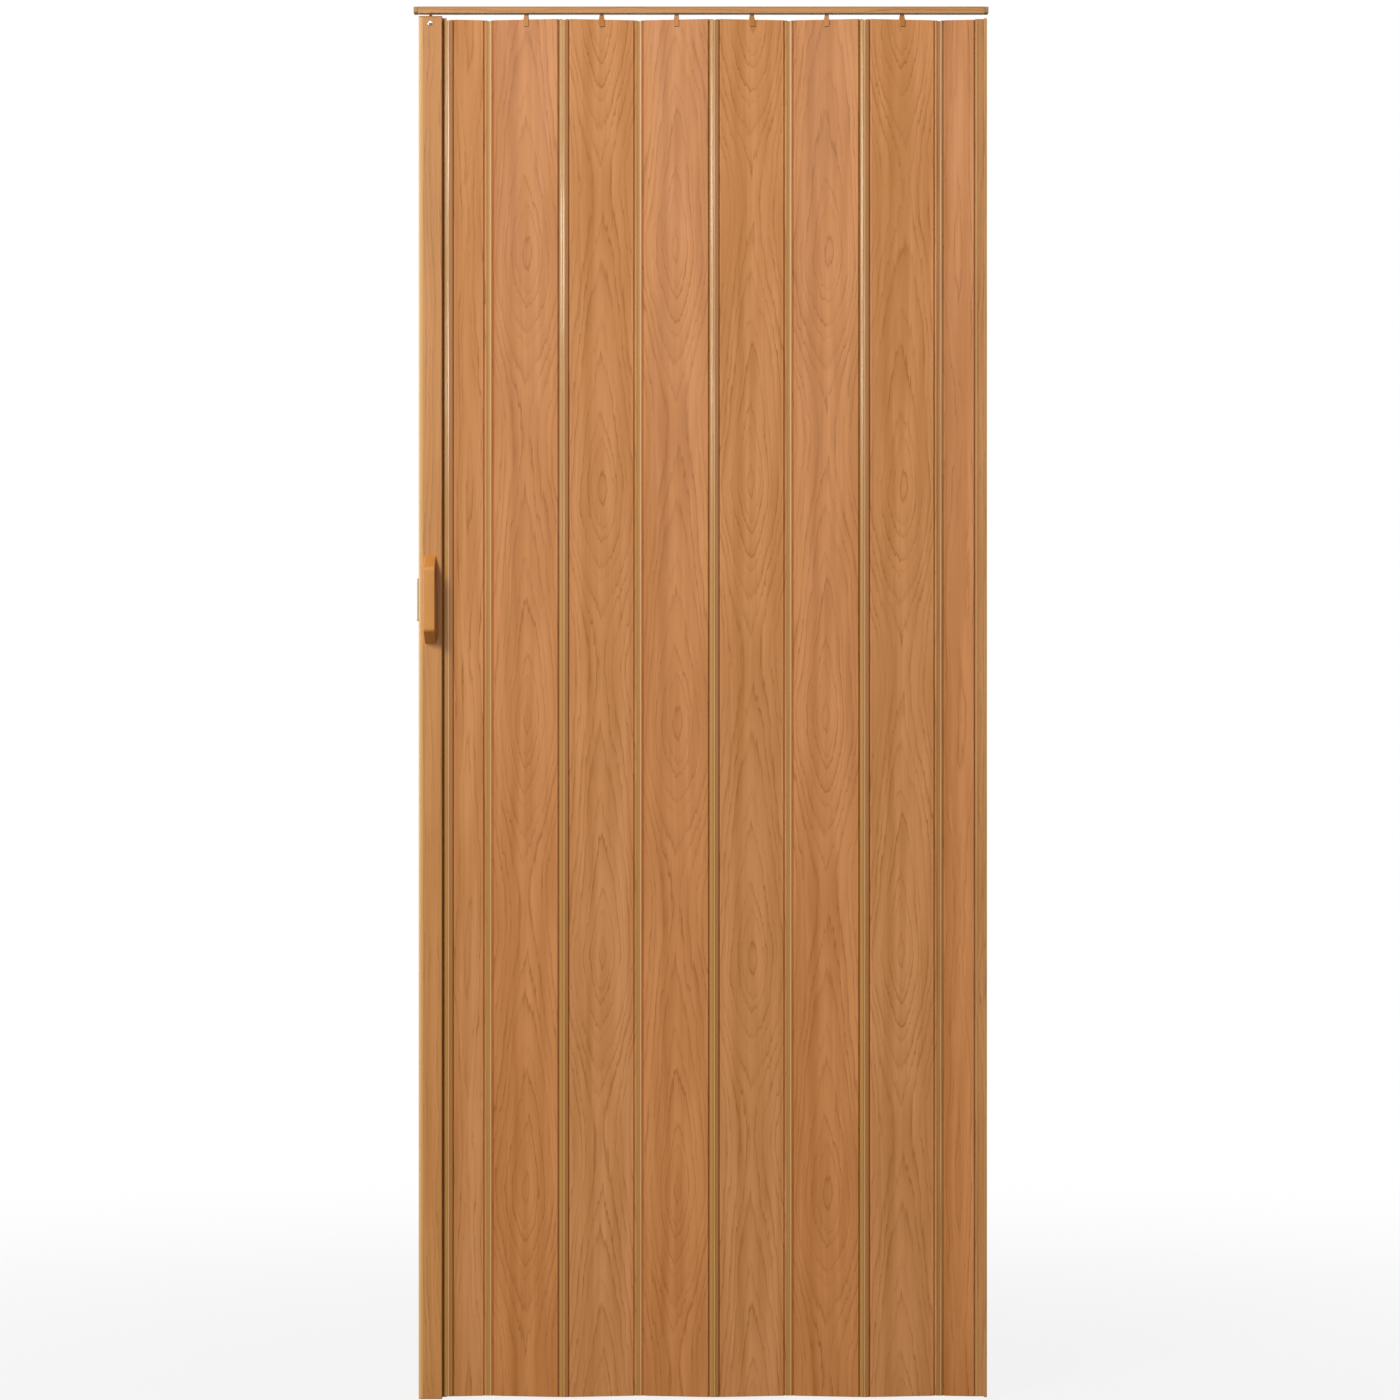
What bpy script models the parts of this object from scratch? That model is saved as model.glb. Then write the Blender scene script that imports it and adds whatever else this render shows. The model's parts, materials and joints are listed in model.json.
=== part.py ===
"""Folding door: a concertina of hollow wood-grained PVC panels that hangs in a ceiling track.

Metres, +Z up. The origin is the middle of the track's top face, where it meets the lintel.
The front of the door faces -Y. The door is fixed to the wall at +X and closes towards -X.
It stands nearly closed, with each panel turned a few degrees from the line of the track.
"""

import math

import bmesh
import bpy
from mathutils import Matrix, Vector

# Fold: the angle between a panel and the track, in degrees
REST_ANGLE = 8.0
CLOSED_ANGLE = 4.45
FOLDED_ANGLE = 80.0

# Panels, hollow extrusions with a round bead along both edges
FULL_PANELS = 6
PANEL_PITCH = 0.1023
PANEL_LENGTH = 2.022
PANEL_THICKNESS = 0.0070
PANEL_WALL = 0.0009
PANEL_EDGE_WALL = 0.0012
PANEL_RIB = 0.0008
PANEL_CELLS = 5
HALF_PANEL_CELLS = 3
PANEL_ROUND = 0.0015
GROOVE_INSET = 0.0030
GROOVE_WIDTH = 0.0008
GROOVE_DEPTH = 0.0004
BEAD_RADIUS = 0.0020
BEAD_NECK = 0.0008
NECK_ROOT = 0.0012

# Hinge strips: two sockets, snapped over the beads of two neighbours, with a cover between
RUNNING_GAP = 0.0003
SOCKET_WALL = 0.0008
EDGE_CLEARANCE = 0.00065
FOLDED_GAP = 0.0020
LEAST_WEB = 0.0015
WEB_SINK = 0.0005
COVER_CROWN = 0.0004
STRIP_SHORTER = 0.0010

# Track, a C channel that is screwed up to the lintel
TRACK_HEIGHT = 0.0090
TRACK_DEPTH = 0.0240
TRACK_WALL = 0.0012
TRACK_ROUND = 0.0012
SLOT_WIDTH = 0.0050
TRACK_CAP = 0.0055
TRACK_CAP_PLUG = 0.0030
TRACK_SCREWS = 4
TRACK_SCREW_HOLE = 0.0021
TRACK_ACCESS_HOLE = 0.0042
JAMB_INSET = 0.0022

# Hangers, one clipped over the top edge of each full panel
PANEL_DROP = 0.0090
SLIDING_GAP = 0.0004
HEAD_RADIUS = 0.0060
HEAD_THICKNESS = 0.0028
HANGER_WIDTH = 0.0075
HANGER_LEG = 0.0013
HANGER_REACH = 0.0100
HANGER_PEAK_GAP = 0.0007
BARB_DEPTH = 0.0014
WINDOW_WIDTH = 0.0040
WINDOW_HEIGHT = 0.0030
WINDOW_DROP = 0.0045

# Jamb profile, screwed to the wall
JAMB_REACH = 0.0140
JAMB_BASE = 0.0044
JAMB_DEPTH = 0.0220
JAMB_ROUND = 0.0012
JAMB_STEM = 0.0048
JAMB_DROP = 0.0080
JAMB_SCREWS = 4
JAMB_SCREW_INSET = 0.0600
JAMB_SCREW_HOLE = 0.0022

# Lead post, the closing edge
POST_WIDTH = 0.0345
POST_DEPTH = 0.0260
POST_WALL = 0.0014
POST_RIB = 0.0010
POST_CORE = 0.0130
POST_NOSE_ROUND = 0.0045
POST_HEEL_ROUND = 0.0015
POST_CLEARANCE = 0.0011
POST_DROP = 0.0050
POST_FOOT_DROP = 0.0025
POST_CAP = 0.0012
SEAT_GAP = 0.0003
FOOT_PLUG = 0.0080

# Runner that carries the post in the track
RUNNER_LENGTH = 0.0200
RUNNER_NECK = 0.0045
TONGUE_LENGTH = 0.0190
RUNNER_SCREW_DROP = 0.0104
RUNNER_SCREW_LENGTH = 0.0140
RUNNER_SCREW_RADIUS = 0.0017
RUNNER_SCREW_HEAD = 0.0040
RUNNER_SCREW_DOME = 0.0024

# Bow handles, one on each face of the post, held by two screws that run through the post
HANDLE_LEVEL = 0.8700
HANDLE_LENGTH = 0.1300
HANDLE_WIDTH = 0.0165
HANDLE_STANDOFF = 0.0330
HANDLE_GRIP = 0.0932
HANDLE_GRIP_THICKNESS = 0.0065
HANDLE_FOOT = 0.0140
HANDLE_SHOULDER = 0.0060
HANDLE_EDGE = 0.0012
HANDLE_SCREW_INSET = 0.0090
HANDLE_SCREW_RADIUS = 0.0019
HANDLE_SCREW_HEAD = 0.0034
HANDLE_SCREW_DOME = 0.0024
HANDLE_SCREW_SEAT = 0.0040
HANDLE_SCREW_BITE = 0.0085
HOLE_GAP = 0.0003

# Magnetic catch on the closing edge of the post
CATCH_THICKNESS = 0.0025
CATCH_DEPTH = 0.0140
CATCH_LENGTH = 0.0626
CATCH_ROUND = 0.0020
MAGNET_THICKNESS = 0.0014
MAGNET_DEPTH = 0.0080
MAGNET_LENGTH = 0.0400
CATCH_SCREW_INSET = 0.0055
CATCH_SCREW_RADIUS = 0.0013
CATCH_SCREW_HEAD = 0.0027
CATCH_SCREW_CONE = 0.0012
CATCH_SCREW_LENGTH = 0.0090

# Cross recesses, as shares of a screw's head and of the recess's own reach
RECESS_REACH = 0.55
RECESS_SLOT = 0.28

# The cone at a screw's tip, in radii of its shank
SCREW_POINT = 1.2

# Steps round each curve, and the angles in degrees that decide what is flat, sharp or smooth
BEAD_STEPS = 12
SOCKET_STEPS = 16
CORNER_STEPS = 4
TURNED_STEPS = 20
FLAT_BELOW = 0.5
SHARP_ABOVE = 35
SOFTEN_ABOVE = 30

# Points of one outline, and points left by a cut, that lie closer than this are one point
SAME_POINT = 0.000001
SAME_CUT_POINT = 0.00002

# Sizes that follow from the ones above
SOCKET_INNER = BEAD_RADIUS + RUNNING_GAP
SOCKET_OUTER = SOCKET_INNER + SOCKET_WALL
STRIP_PITCH = max(PANEL_THICKNESS + FOLDED_GAP, 2 * SOCKET_OUTER + LEAST_WEB)
PANEL_EDGE = SOCKET_OUTER + EDGE_CLEARANCE
HALF_PITCH = PANEL_PITCH / 2
NECK_SWEEP = math.degrees(math.asin((BEAD_NECK / 2 + RUNNING_GAP) / SOCKET_INNER))
MOUTH_LOW = CLOSED_ANGLE - NECK_SWEEP
MOUTH_HIGH = FOLDED_ANGLE + NECK_SWEEP
FOLDS = FULL_PANELS + 1
CLOSED_SPAN = FOLDS * (PANEL_PITCH * math.cos(math.radians(CLOSED_ANGLE)) + STRIP_PITCH)
POST_HEEL = STRIP_PITCH + SOCKET_OUTER + POST_CLEARANCE
DOOR_WIDTH = JAMB_INSET + JAMB_REACH + CLOSED_SPAN + POST_HEEL + POST_WIDTH + CATCH_THICKNESS
JAMB_PIVOT = DOOR_WIDTH / 2 - JAMB_INSET - JAMB_REACH
PANEL_TOP = -TRACK_HEIGHT - PANEL_DROP
PANEL_FOOT = PANEL_TOP - PANEL_LENGTH
POST_TOP = -TRACK_HEIGHT - POST_DROP
POST_FOOT = PANEL_FOOT - POST_FOOT_DROP
POST_MIDDLE = -POST_HEEL - POST_WIDTH / 2
LIP_TOP = -TRACK_HEIGHT + TRACK_WALL

FOIL = ("pvc_wood_foil", "#B8794A", 0.42, 0.0)
STRIP_FOIL = ("pvc_hinge_strip", "#B07F4C", 0.30, 0.0)
TRACK_FOIL = ("pvc_track", "#C08A55", 0.40, 0.0)
MOULDED = ("moulded_plastic", "#C4864C", 0.38, 0.0)
PALE = ("pale_plastic", "#E4DCC8", 0.50, 0.0)
CHROME = ("chrome_plate", "#D8D8D6", 0.12, 1.0)
ZINC = ("zinc_plate", "#B9BAB6", 0.32, 1.0)
MAGNET = ("ferrite_magnet", "#3A3A3C", 0.60, 0.2)


def linear(hex_colour):
    """An sRGB hex colour as the linear values that a shader takes."""
    channels = [int(hex_colour[i : i + 2], 16) / 255 for i in (1, 3, 5)]
    return [c / 12.92 if c <= 0.04045 else ((c + 0.055) / 1.055) ** 2.4 for c in channels]


def finish_of(finish):
    """The material for a finish, made once: its name, colour, roughness and metallic value."""
    name, colour, roughness, metallic = finish
    if name in bpy.data.materials:
        return bpy.data.materials[name]
    material = bpy.data.materials.new(name)
    material.use_nodes = True
    shader = material.node_tree.nodes["Principled BSDF"]
    shader.inputs["Base Color"].default_value = (*linear(colour), 1)
    shader.inputs["Roughness"].default_value = roughness
    shader.inputs["Metallic"].default_value = metallic
    return material


def arc(centre, radius, start, end, steps):
    """Points along a round, from one angle to another in degrees, with both ends."""
    angles = [math.radians(start + (end - start) * i / steps) for i in range(steps + 1)]
    return [
        (centre[0] + radius * math.cos(a), centre[1] + radius * math.sin(a)) for a in angles
    ]


def rounded_box(low, high, radii):
    """A rectangle with its corners rounded, from the low X and high Y corner on, turning left."""
    (x0, y0), (x1, y1) = low, high
    corners = [(x0, y1, 90), (x0, y0, 180), (x1, y0, 270), (x1, y1, 0)]
    points = []
    for (x, y, start), radius in zip(corners, radii):
        inward_x = radius if x == x0 else -radius
        inward_y = radius if y == y0 else -radius
        points += arc((x + inward_x, y + inward_y), radius, start, start + 90, CORNER_STEPS)
    return points


def add_finish(item, finish):
    """Gives a mesh object its material, and smooth shading on its rounds."""
    item.data.materials.clear()
    item.data.materials.append(finish_of(finish))
    item.data.shade_smooth()
    item.data.set_sharp_from_angle(angle=math.radians(SHARP_ABOVE))


def place(item, parent, placement):
    """Links an object to the model, under its parent, with its place in the parent's frame."""
    parts.objects.link(item)
    item.parent = parent
    item.matrix_basis = placement


def extruded(name, loops, low, high, finish, parent=None, turn=None):
    """A flat outline, with any holes in it, drawn out from low to high along its own Z."""
    curve = bpy.data.curves.new(name, "CURVE")
    curve.dimensions = "2D"
    curve.fill_mode = "BOTH"
    curve.extrude = (high - low) / 2
    for loop in loops:
        spline = curve.splines.new("POLY")
        spline.points.add(len(loop) - 1)
        for point, (x, y) in zip(spline.points, loop):
            point.co = (x, y, 0, 1)
        spline.use_cyclic_u = True
    drawn = bpy.data.objects.new(name + "_outline", curve)
    place(drawn, parent, (turn or Matrix()) @ Matrix.Translation((0, 0, (low + high) / 2)))
    bpy.context.view_layer.update()
    depsgraph = bpy.context.evaluated_depsgraph_get()
    mesh = bpy.data.meshes.new_from_object(drawn.evaluated_get(depsgraph))
    mesh.name = name
    shape = bmesh.new()
    shape.from_mesh(mesh)
    bmesh.ops.remove_doubles(shape, verts=shape.verts, dist=SAME_POINT)
    bmesh.ops.dissolve_limit(
        shape, angle_limit=math.radians(FLAT_BELOW), verts=shape.verts, edges=shape.edges
    )
    bmesh.ops.recalc_face_normals(shape, faces=shape.faces)
    shape.to_mesh(mesh)
    shape.free()
    solid = bpy.data.objects.new(name, mesh)
    parts.objects.link(solid)
    solid.parent = parent
    solid.matrix_world = drawn.matrix_world.copy()
    bpy.data.objects.remove(drawn, do_unlink=True)
    bpy.data.curves.remove(curve)
    add_finish(solid, finish)
    return solid


def cylinder(name, radius, centre, axis, length, parent=None):
    """A plain round bar about an axis through its centre."""
    mesh = bpy.data.meshes.new(name)
    shape = bmesh.new()
    bmesh.ops.create_cone(
        shape,
        cap_ends=True,
        segments=TURNED_STEPS,
        radius1=radius,
        radius2=radius,
        depth=length,
    )
    shape.to_mesh(mesh)
    shape.free()
    bar = bpy.data.objects.new(name, mesh)
    turn = Vector((0, 0, 1)).rotation_difference(Vector(axis)).to_matrix().to_4x4()
    place(bar, parent, Matrix.Translation(centre) @ turn)
    return bar


def box(name, low, high, parent=None, frame=None):
    """A plain block between two corners, given in a frame of its own."""
    mesh = bpy.data.meshes.new(name)
    shape = bmesh.new()
    bmesh.ops.create_cube(shape, size=1)
    size = Vector(high) - Vector(low)
    bmesh.ops.scale(shape, vec=size, verts=shape.verts)
    shape.to_mesh(mesh)
    shape.free()
    block = bpy.data.objects.new(name, mesh)
    middle = Matrix.Translation((Vector(low) + Vector(high)) / 2)
    place(block, parent, (frame or Matrix()) @ middle)
    return block


def turned(name, profile, finish, parent=None, placement=None):
    """A turned piece: a profile of radius and height, from its top to its foot, swept round Z."""
    mesh = bpy.data.meshes.new(name)
    shape = bmesh.new()
    points = [shape.verts.new((radius, 0, height)) for radius, height in profile]
    for first, second in zip(points, points[1:]):
        shape.edges.new((first, second))
    shape.to_mesh(mesh)
    shape.free()
    piece = bpy.data.objects.new(name, mesh)
    place(piece, parent, placement or Matrix())
    sweep = piece.modifiers.new("sweep", "SCREW")
    sweep.steps = TURNED_STEPS
    sweep.render_steps = TURNED_STEPS
    sweep.use_merge_vertices = True
    sweep.merge_threshold = SAME_POINT
    sweep.use_smooth_shade = True
    piece.data.materials.append(finish_of(finish))
    return piece


def combine(target, tool, operation):
    """Cuts or joins a piece with a tool, which becomes a hidden guide."""
    parts.objects.unlink(tool)
    cutters.objects.link(tool)
    tool.hide_render = True
    tool.display_type = "WIRE"
    step = target.modifiers.new(tool.name, "BOOLEAN")
    step.operation = operation
    step.object = tool


def cut(target, tool):
    combine(target, tool, "DIFFERENCE")


def join(target, tool):
    combine(target, tool, "UNION")


def clean_cuts(piece):
    """Last steps of a cut piece: welds near points, drops those along flats, lays even faces."""
    weld = piece.modifiers.new("near_points", "WELD")
    weld.merge_threshold = SAME_CUT_POINT
    flatten = piece.modifiers.new("flat_points", "DECIMATE")
    flatten.decimate_type = "DISSOLVE"
    flatten.angle_limit = math.radians(FLAT_BELOW)
    lay = piece.modifiers.new("even_faces", "TRIANGULATE")
    lay.quad_method = "SHORTEST_DIAGONAL"
    lay.ngon_method = "BEAUTY"


def bead_loop(centre_x, side):
    """The round bead at a panel's edge and its neck; side 1 points to +X, side -1 to -X."""
    half_neck = math.degrees(math.asin(BEAD_NECK / 2 / BEAD_RADIUS))
    start = half_neck - 180 if side > 0 else half_neck
    end = 180 - half_neck if side > 0 else 360 - half_neck
    return arc((centre_x, 0), BEAD_RADIUS, start, end, BEAD_STEPS)


def panel_face(start_x, end_x, level):
    """One face of a panel, with a fine V groove near each edge, running from start to end."""
    towards = 1 if end_x > start_x else -1
    depth = GROOVE_DEPTH if level < 0 else -GROOVE_DEPTH
    first = start_x + towards * (GROOVE_INSET - PANEL_ROUND)
    last = end_x - towards * (GROOVE_INSET - PANEL_ROUND)
    step = towards * GROOVE_WIDTH / 2
    return [
        (first, level),
        (first + step, level + depth),
        (first + 2 * step, level),
        (last - 2 * step, level),
        (last - step, level + depth),
        (last, level),
    ]


def panel_loop(pitch):
    """A panel's outline: pivots at X = 0 and X = -pitch, and a rounded, grooved body between."""
    face = PANEL_THICKNESS / 2
    right = -PANEL_EDGE
    left = PANEL_EDGE - pitch
    inset = PANEL_ROUND
    outer = bead_loop(0, 1)
    outer += [(right, NECK_ROOT / 2)]
    outer += arc((right - inset, face - inset), inset, 0, 90, CORNER_STEPS)
    outer += panel_face(right - inset, left + inset, face)
    outer += arc((left + inset, face - inset), inset, 90, 180, CORNER_STEPS)
    outer += [(left, NECK_ROOT / 2)]
    outer += bead_loop(-pitch, -1)
    outer += [(left, -NECK_ROOT / 2)]
    outer += arc((left + inset, inset - face), inset, 180, 270, CORNER_STEPS)
    outer += panel_face(left + inset, right - inset, -face)
    outer += arc((right - inset, inset - face), inset, 270, 360, CORNER_STEPS)
    outer += [(right, -NECK_ROOT / 2)]
    return outer


def cell_loops(pitch, cells):
    """The open cells of a panel, side by side between its two faces."""
    left = PANEL_EDGE + PANEL_EDGE_WALL - pitch
    right = -PANEL_EDGE - PANEL_EDGE_WALL
    cell = (right - left - (cells - 1) * PANEL_RIB) / cells
    y = PANEL_THICKNESS / 2 - PANEL_WALL
    starts = [left + index * (cell + PANEL_RIB) for index in range(cells)]
    return [[(x, -y), (x + cell, -y), (x + cell, y), (x, y)] for x in starts]


def strip_loop(inner_side):
    """A hinge strip's section: sockets at X = 0 and X = -STRIP_PITCH, mouths to the inner side."""
    web = math.degrees(math.asin(1 - WEB_SINK / SOCKET_OUTER))
    right = (0, 0)
    left = (-STRIP_PITCH, 0)
    loop = arc(right, SOCKET_OUTER, MOUTH_LOW, -90, SOCKET_STEPS // 2)
    for share in (0.25, 0.5, 0.75):
        crown = 4 * COVER_CROWN * share * (1 - share)
        loop += [(-STRIP_PITCH * share, -SOCKET_OUTER - crown)]
    loop += arc(left, SOCKET_OUTER, 270, 180 - MOUTH_LOW, SOCKET_STEPS // 2)
    loop += arc(left, SOCKET_INNER, 180 - MOUTH_LOW, 540 - MOUTH_HIGH, SOCKET_STEPS)
    loop += arc(left, SOCKET_OUTER, 180 - MOUTH_HIGH, web, SOCKET_STEPS // 4)
    loop += arc(right, SOCKET_OUTER, 180 - web, MOUTH_HIGH, SOCKET_STEPS // 4)
    loop += arc(right, SOCKET_INNER, MOUTH_HIGH, 360 + MOUTH_LOW, SOCKET_STEPS)
    return [(x, inner_side * y) for x, y in loop]


def jamb_loop():
    """The wall profile's section: a socket at X = 0, open to the left, on a stem and a base."""
    shoulder = math.degrees(math.asin(JAMB_STEM / 2 / SOCKET_OUTER))
    base = JAMB_REACH - JAMB_BASE
    half = JAMB_DEPTH / 2
    inset = JAMB_ROUND
    loop = arc((0, 0), SOCKET_OUTER, 180 - MOUTH_LOW, 360 - shoulder, SOCKET_STEPS)
    loop += [(base, -JAMB_STEM / 2)]
    loop += arc((base + inset, inset - half), inset, 180, 270, CORNER_STEPS)
    loop += [(JAMB_REACH, -half), (JAMB_REACH, half)]
    loop += arc((base + inset, half - inset), inset, 90, 180, CORNER_STEPS)
    loop += [(base, JAMB_STEM / 2)]
    loop += arc((0, 0), SOCKET_OUTER, shoulder, 180 - MOUTH_HIGH, SOCKET_STEPS // 4)
    loop += arc((0, 0), SOCKET_INNER, 180 - MOUTH_HIGH, -180 - MOUTH_LOW, SOCKET_STEPS)
    return loop


def post_radii(inset=0.0):
    """The post's corner rounds, nose first, for an outline set in from its surface."""
    nose = POST_NOSE_ROUND - inset
    heel = max(POST_HEEL_ROUND - inset, SEAT_GAP)
    return [nose, nose, heel, heel]


def post_box(inset=0.0):
    """The post's rounded outline, or one set in from it, in the frame of the post's hinge."""
    low = (-POST_HEEL - POST_WIDTH + inset, -POST_DEPTH / 2 + inset)
    high = (-POST_HEEL - inset, POST_DEPTH / 2 - inset)
    return rounded_box(low, high, post_radii(inset))


def post_loop():
    """The post's outline: a rounded box with a bead on its heel."""
    heel = -POST_HEEL
    half = POST_DEPTH / 2
    inset = POST_HEEL_ROUND
    outline = post_box()
    nose = outline[: 2 * (CORNER_STEPS + 1)]
    outer = nose
    outer += arc((heel - inset, inset - half), inset, 270, 360, CORNER_STEPS)
    outer += [(heel, -NECK_ROOT / 2)]
    outer += bead_loop(-STRIP_PITCH, 1)
    outer += [(heel, NECK_ROOT / 2)]
    outer += arc((heel - inset, half - inset), inset, 0, 90, CORNER_STEPS)
    return outer


def post_cell_loops():
    """The post's three open cells: its nose, its square core, and its heel."""
    reach = POST_DEPTH / 2 - POST_WALL
    left = POST_MIDDLE - POST_WIDTH / 2 + POST_WALL
    right = -POST_HEEL - POST_WALL
    core = POST_CORE / 2
    rib = core + POST_RIB
    soft = POST_NOSE_ROUND - POST_WALL
    hard = SEAT_GAP
    nose_cell = rounded_box((left, -reach), (POST_MIDDLE - rib, reach), [soft, soft, hard, hard])
    heel_cell = rounded_box((POST_MIDDLE + rib, -reach), (right, reach), [hard] * 4)
    core_cell = [
        (POST_MIDDLE - core, -reach),
        (POST_MIDDLE + core, -reach),
        (POST_MIDDLE + core, reach),
        (POST_MIDDLE - core, reach),
    ]
    return [nose_cell, core_cell, heel_cell]


def track_loop():
    """The track's section, with X for the depth and Y for the height: a C open downwards."""
    half = TRACK_DEPTH / 2
    slot = SLOT_WIDTH / 2
    inset = TRACK_ROUND
    loop = [(half, 0), (-half, 0)]
    loop += arc((inset - half, inset - TRACK_HEIGHT), inset, 180, 270, CORNER_STEPS)
    loop += [(-slot, -TRACK_HEIGHT), (-slot, LIP_TOP), (TRACK_WALL - half, LIP_TOP)]
    loop += [(TRACK_WALL - half, -TRACK_WALL), (half - TRACK_WALL, -TRACK_WALL)]
    loop += [(half - TRACK_WALL, LIP_TOP), (slot, LIP_TOP), (slot, -TRACK_HEIGHT)]
    loop += arc((half - inset, inset - TRACK_HEIGHT), inset, 270, 360, CORNER_STEPS)
    return loop


def along_x():
    """Turns an outline drawn in depth and height, so that it is drawn out along the door."""
    return Matrix(((0, 0, 1, 0), (1, 0, 0, 0), (0, 1, 0, 0), (0, 0, 0, 1)))


def from_face(front):
    """Turns an outline drawn in stand-off and height to stand on the post's front or back."""
    side = -1 if front else 1
    return Matrix(((0, 0, side, 0), (side, 0, 0, 0), (0, 1, 0, 0), (0, 0, 0, 1)))


def build_track():
    """The channel, drilled for its screws: small holes above, access holes in the lips below."""
    half = DOOR_WIDTH / 2 - TRACK_CAP - SEAT_GAP
    track = extruded("track", [track_loop()], -half, half, TRACK_FOIL, turn=along_x())
    upright = (0, 0, 1)
    depth = 2 * TRACK_WALL
    for index in range(TRACK_SCREWS):
        x = DOOR_WIDTH * ((index + 0.5) / TRACK_SCREWS - 0.5)
        name = f"track_screw_hole_{index + 1}"
        cut(track, cylinder(name, TRACK_SCREW_HOLE, (x, 0, -TRACK_WALL / 2), upright, depth))
        name = f"track_access_{index + 1}"
        middle = (x, 0, LIP_TOP - TRACK_WALL / 2)
        cut(track, cylinder(name, TRACK_ACCESS_HOLE, middle, upright, depth))


def build_track_cap(name, side):
    """A moulded end cap: a rounded block as big as the track's section, on a short plug."""
    half = TRACK_DEPTH / 2
    end = DOOR_WIDTH / 2
    shell = rounded_box((-half, -TRACK_HEIGHT), (half, 0), [TRACK_ROUND] * 4)
    cap = extruded(name, [shell], end - TRACK_CAP, end, MOULDED, turn=along_x())
    reach = half - TRACK_WALL - SEAT_GAP
    low = (end - TRACK_CAP - TRACK_CAP_PLUG, -reach, LIP_TOP + SEAT_GAP)
    high = (end - TRACK_CAP / 2, reach, -TRACK_WALL - SEAT_GAP)
    join(cap, box(name + "_plug", low, high))
    if side < 0:
        cap.matrix_world = Matrix.Rotation(math.pi, 4, "Z") @ cap.matrix_world
        tool = cap.modifiers[0].object
        tool.matrix_basis = Matrix.Rotation(math.pi, 4, "Z") @ tool.matrix_basis


def build_jamb():
    """The wall profile, drilled through its front wing for the screws that fix it."""
    place_here = Matrix.Translation((JAMB_PIVOT, 0, 0))
    top = -TRACK_HEIGHT - JAMB_DROP
    jamb = extruded("wall_jamb", [jamb_loop()], PANEL_FOOT, top, FOIL, turn=place_here)
    wing = -(JAMB_DEPTH + JAMB_STEM) / 4
    spacing = (top - PANEL_FOOT - 2 * JAMB_SCREW_INSET) / (JAMB_SCREWS - 1)
    for index in range(JAMB_SCREWS):
        z = top - JAMB_SCREW_INSET - index * spacing
        middle = (JAMB_PIVOT + JAMB_REACH - JAMB_BASE / 2, wing, z)
        name = f"jamb_screw_hole_{index + 1}"
        cut(jamb, cylinder(name, JAMB_SCREW_HOLE, middle, (1, 0, 0), 2 * JAMB_BASE))


def build_panel(name, parent, pitch, cells):
    panel = extruded(name, [panel_loop(pitch)], PANEL_FOOT, PANEL_TOP, FOIL, parent)
    over = PANEL_THICKNESS
    hollow = cell_loops(pitch, cells)
    cut(panel, extruded(name + "_cells", hollow, PANEL_FOOT - over, PANEL_TOP + over, FOIL, parent))
    return panel


def build_strip(name, parent, inner_side):
    top = PANEL_TOP - STRIP_SHORTER
    return extruded(name, [strip_loop(inner_side)], PANEL_FOOT, top, STRIP_FOIL, parent)


def cut_windows(panel, number, parent):
    """A window through both faces of a full panel, for the hanger's barbs."""
    half = WINDOW_WIDTH / 2
    reach = PANEL_THICKNESS
    top = PANEL_TOP - WINDOW_DROP
    low = (-HALF_PITCH - half, -reach, top - WINDOW_HEIGHT)
    high = (-HALF_PITCH + half, reach, top)
    cut(panel, box(f"panel_{number}_window", low, high, parent))


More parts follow.
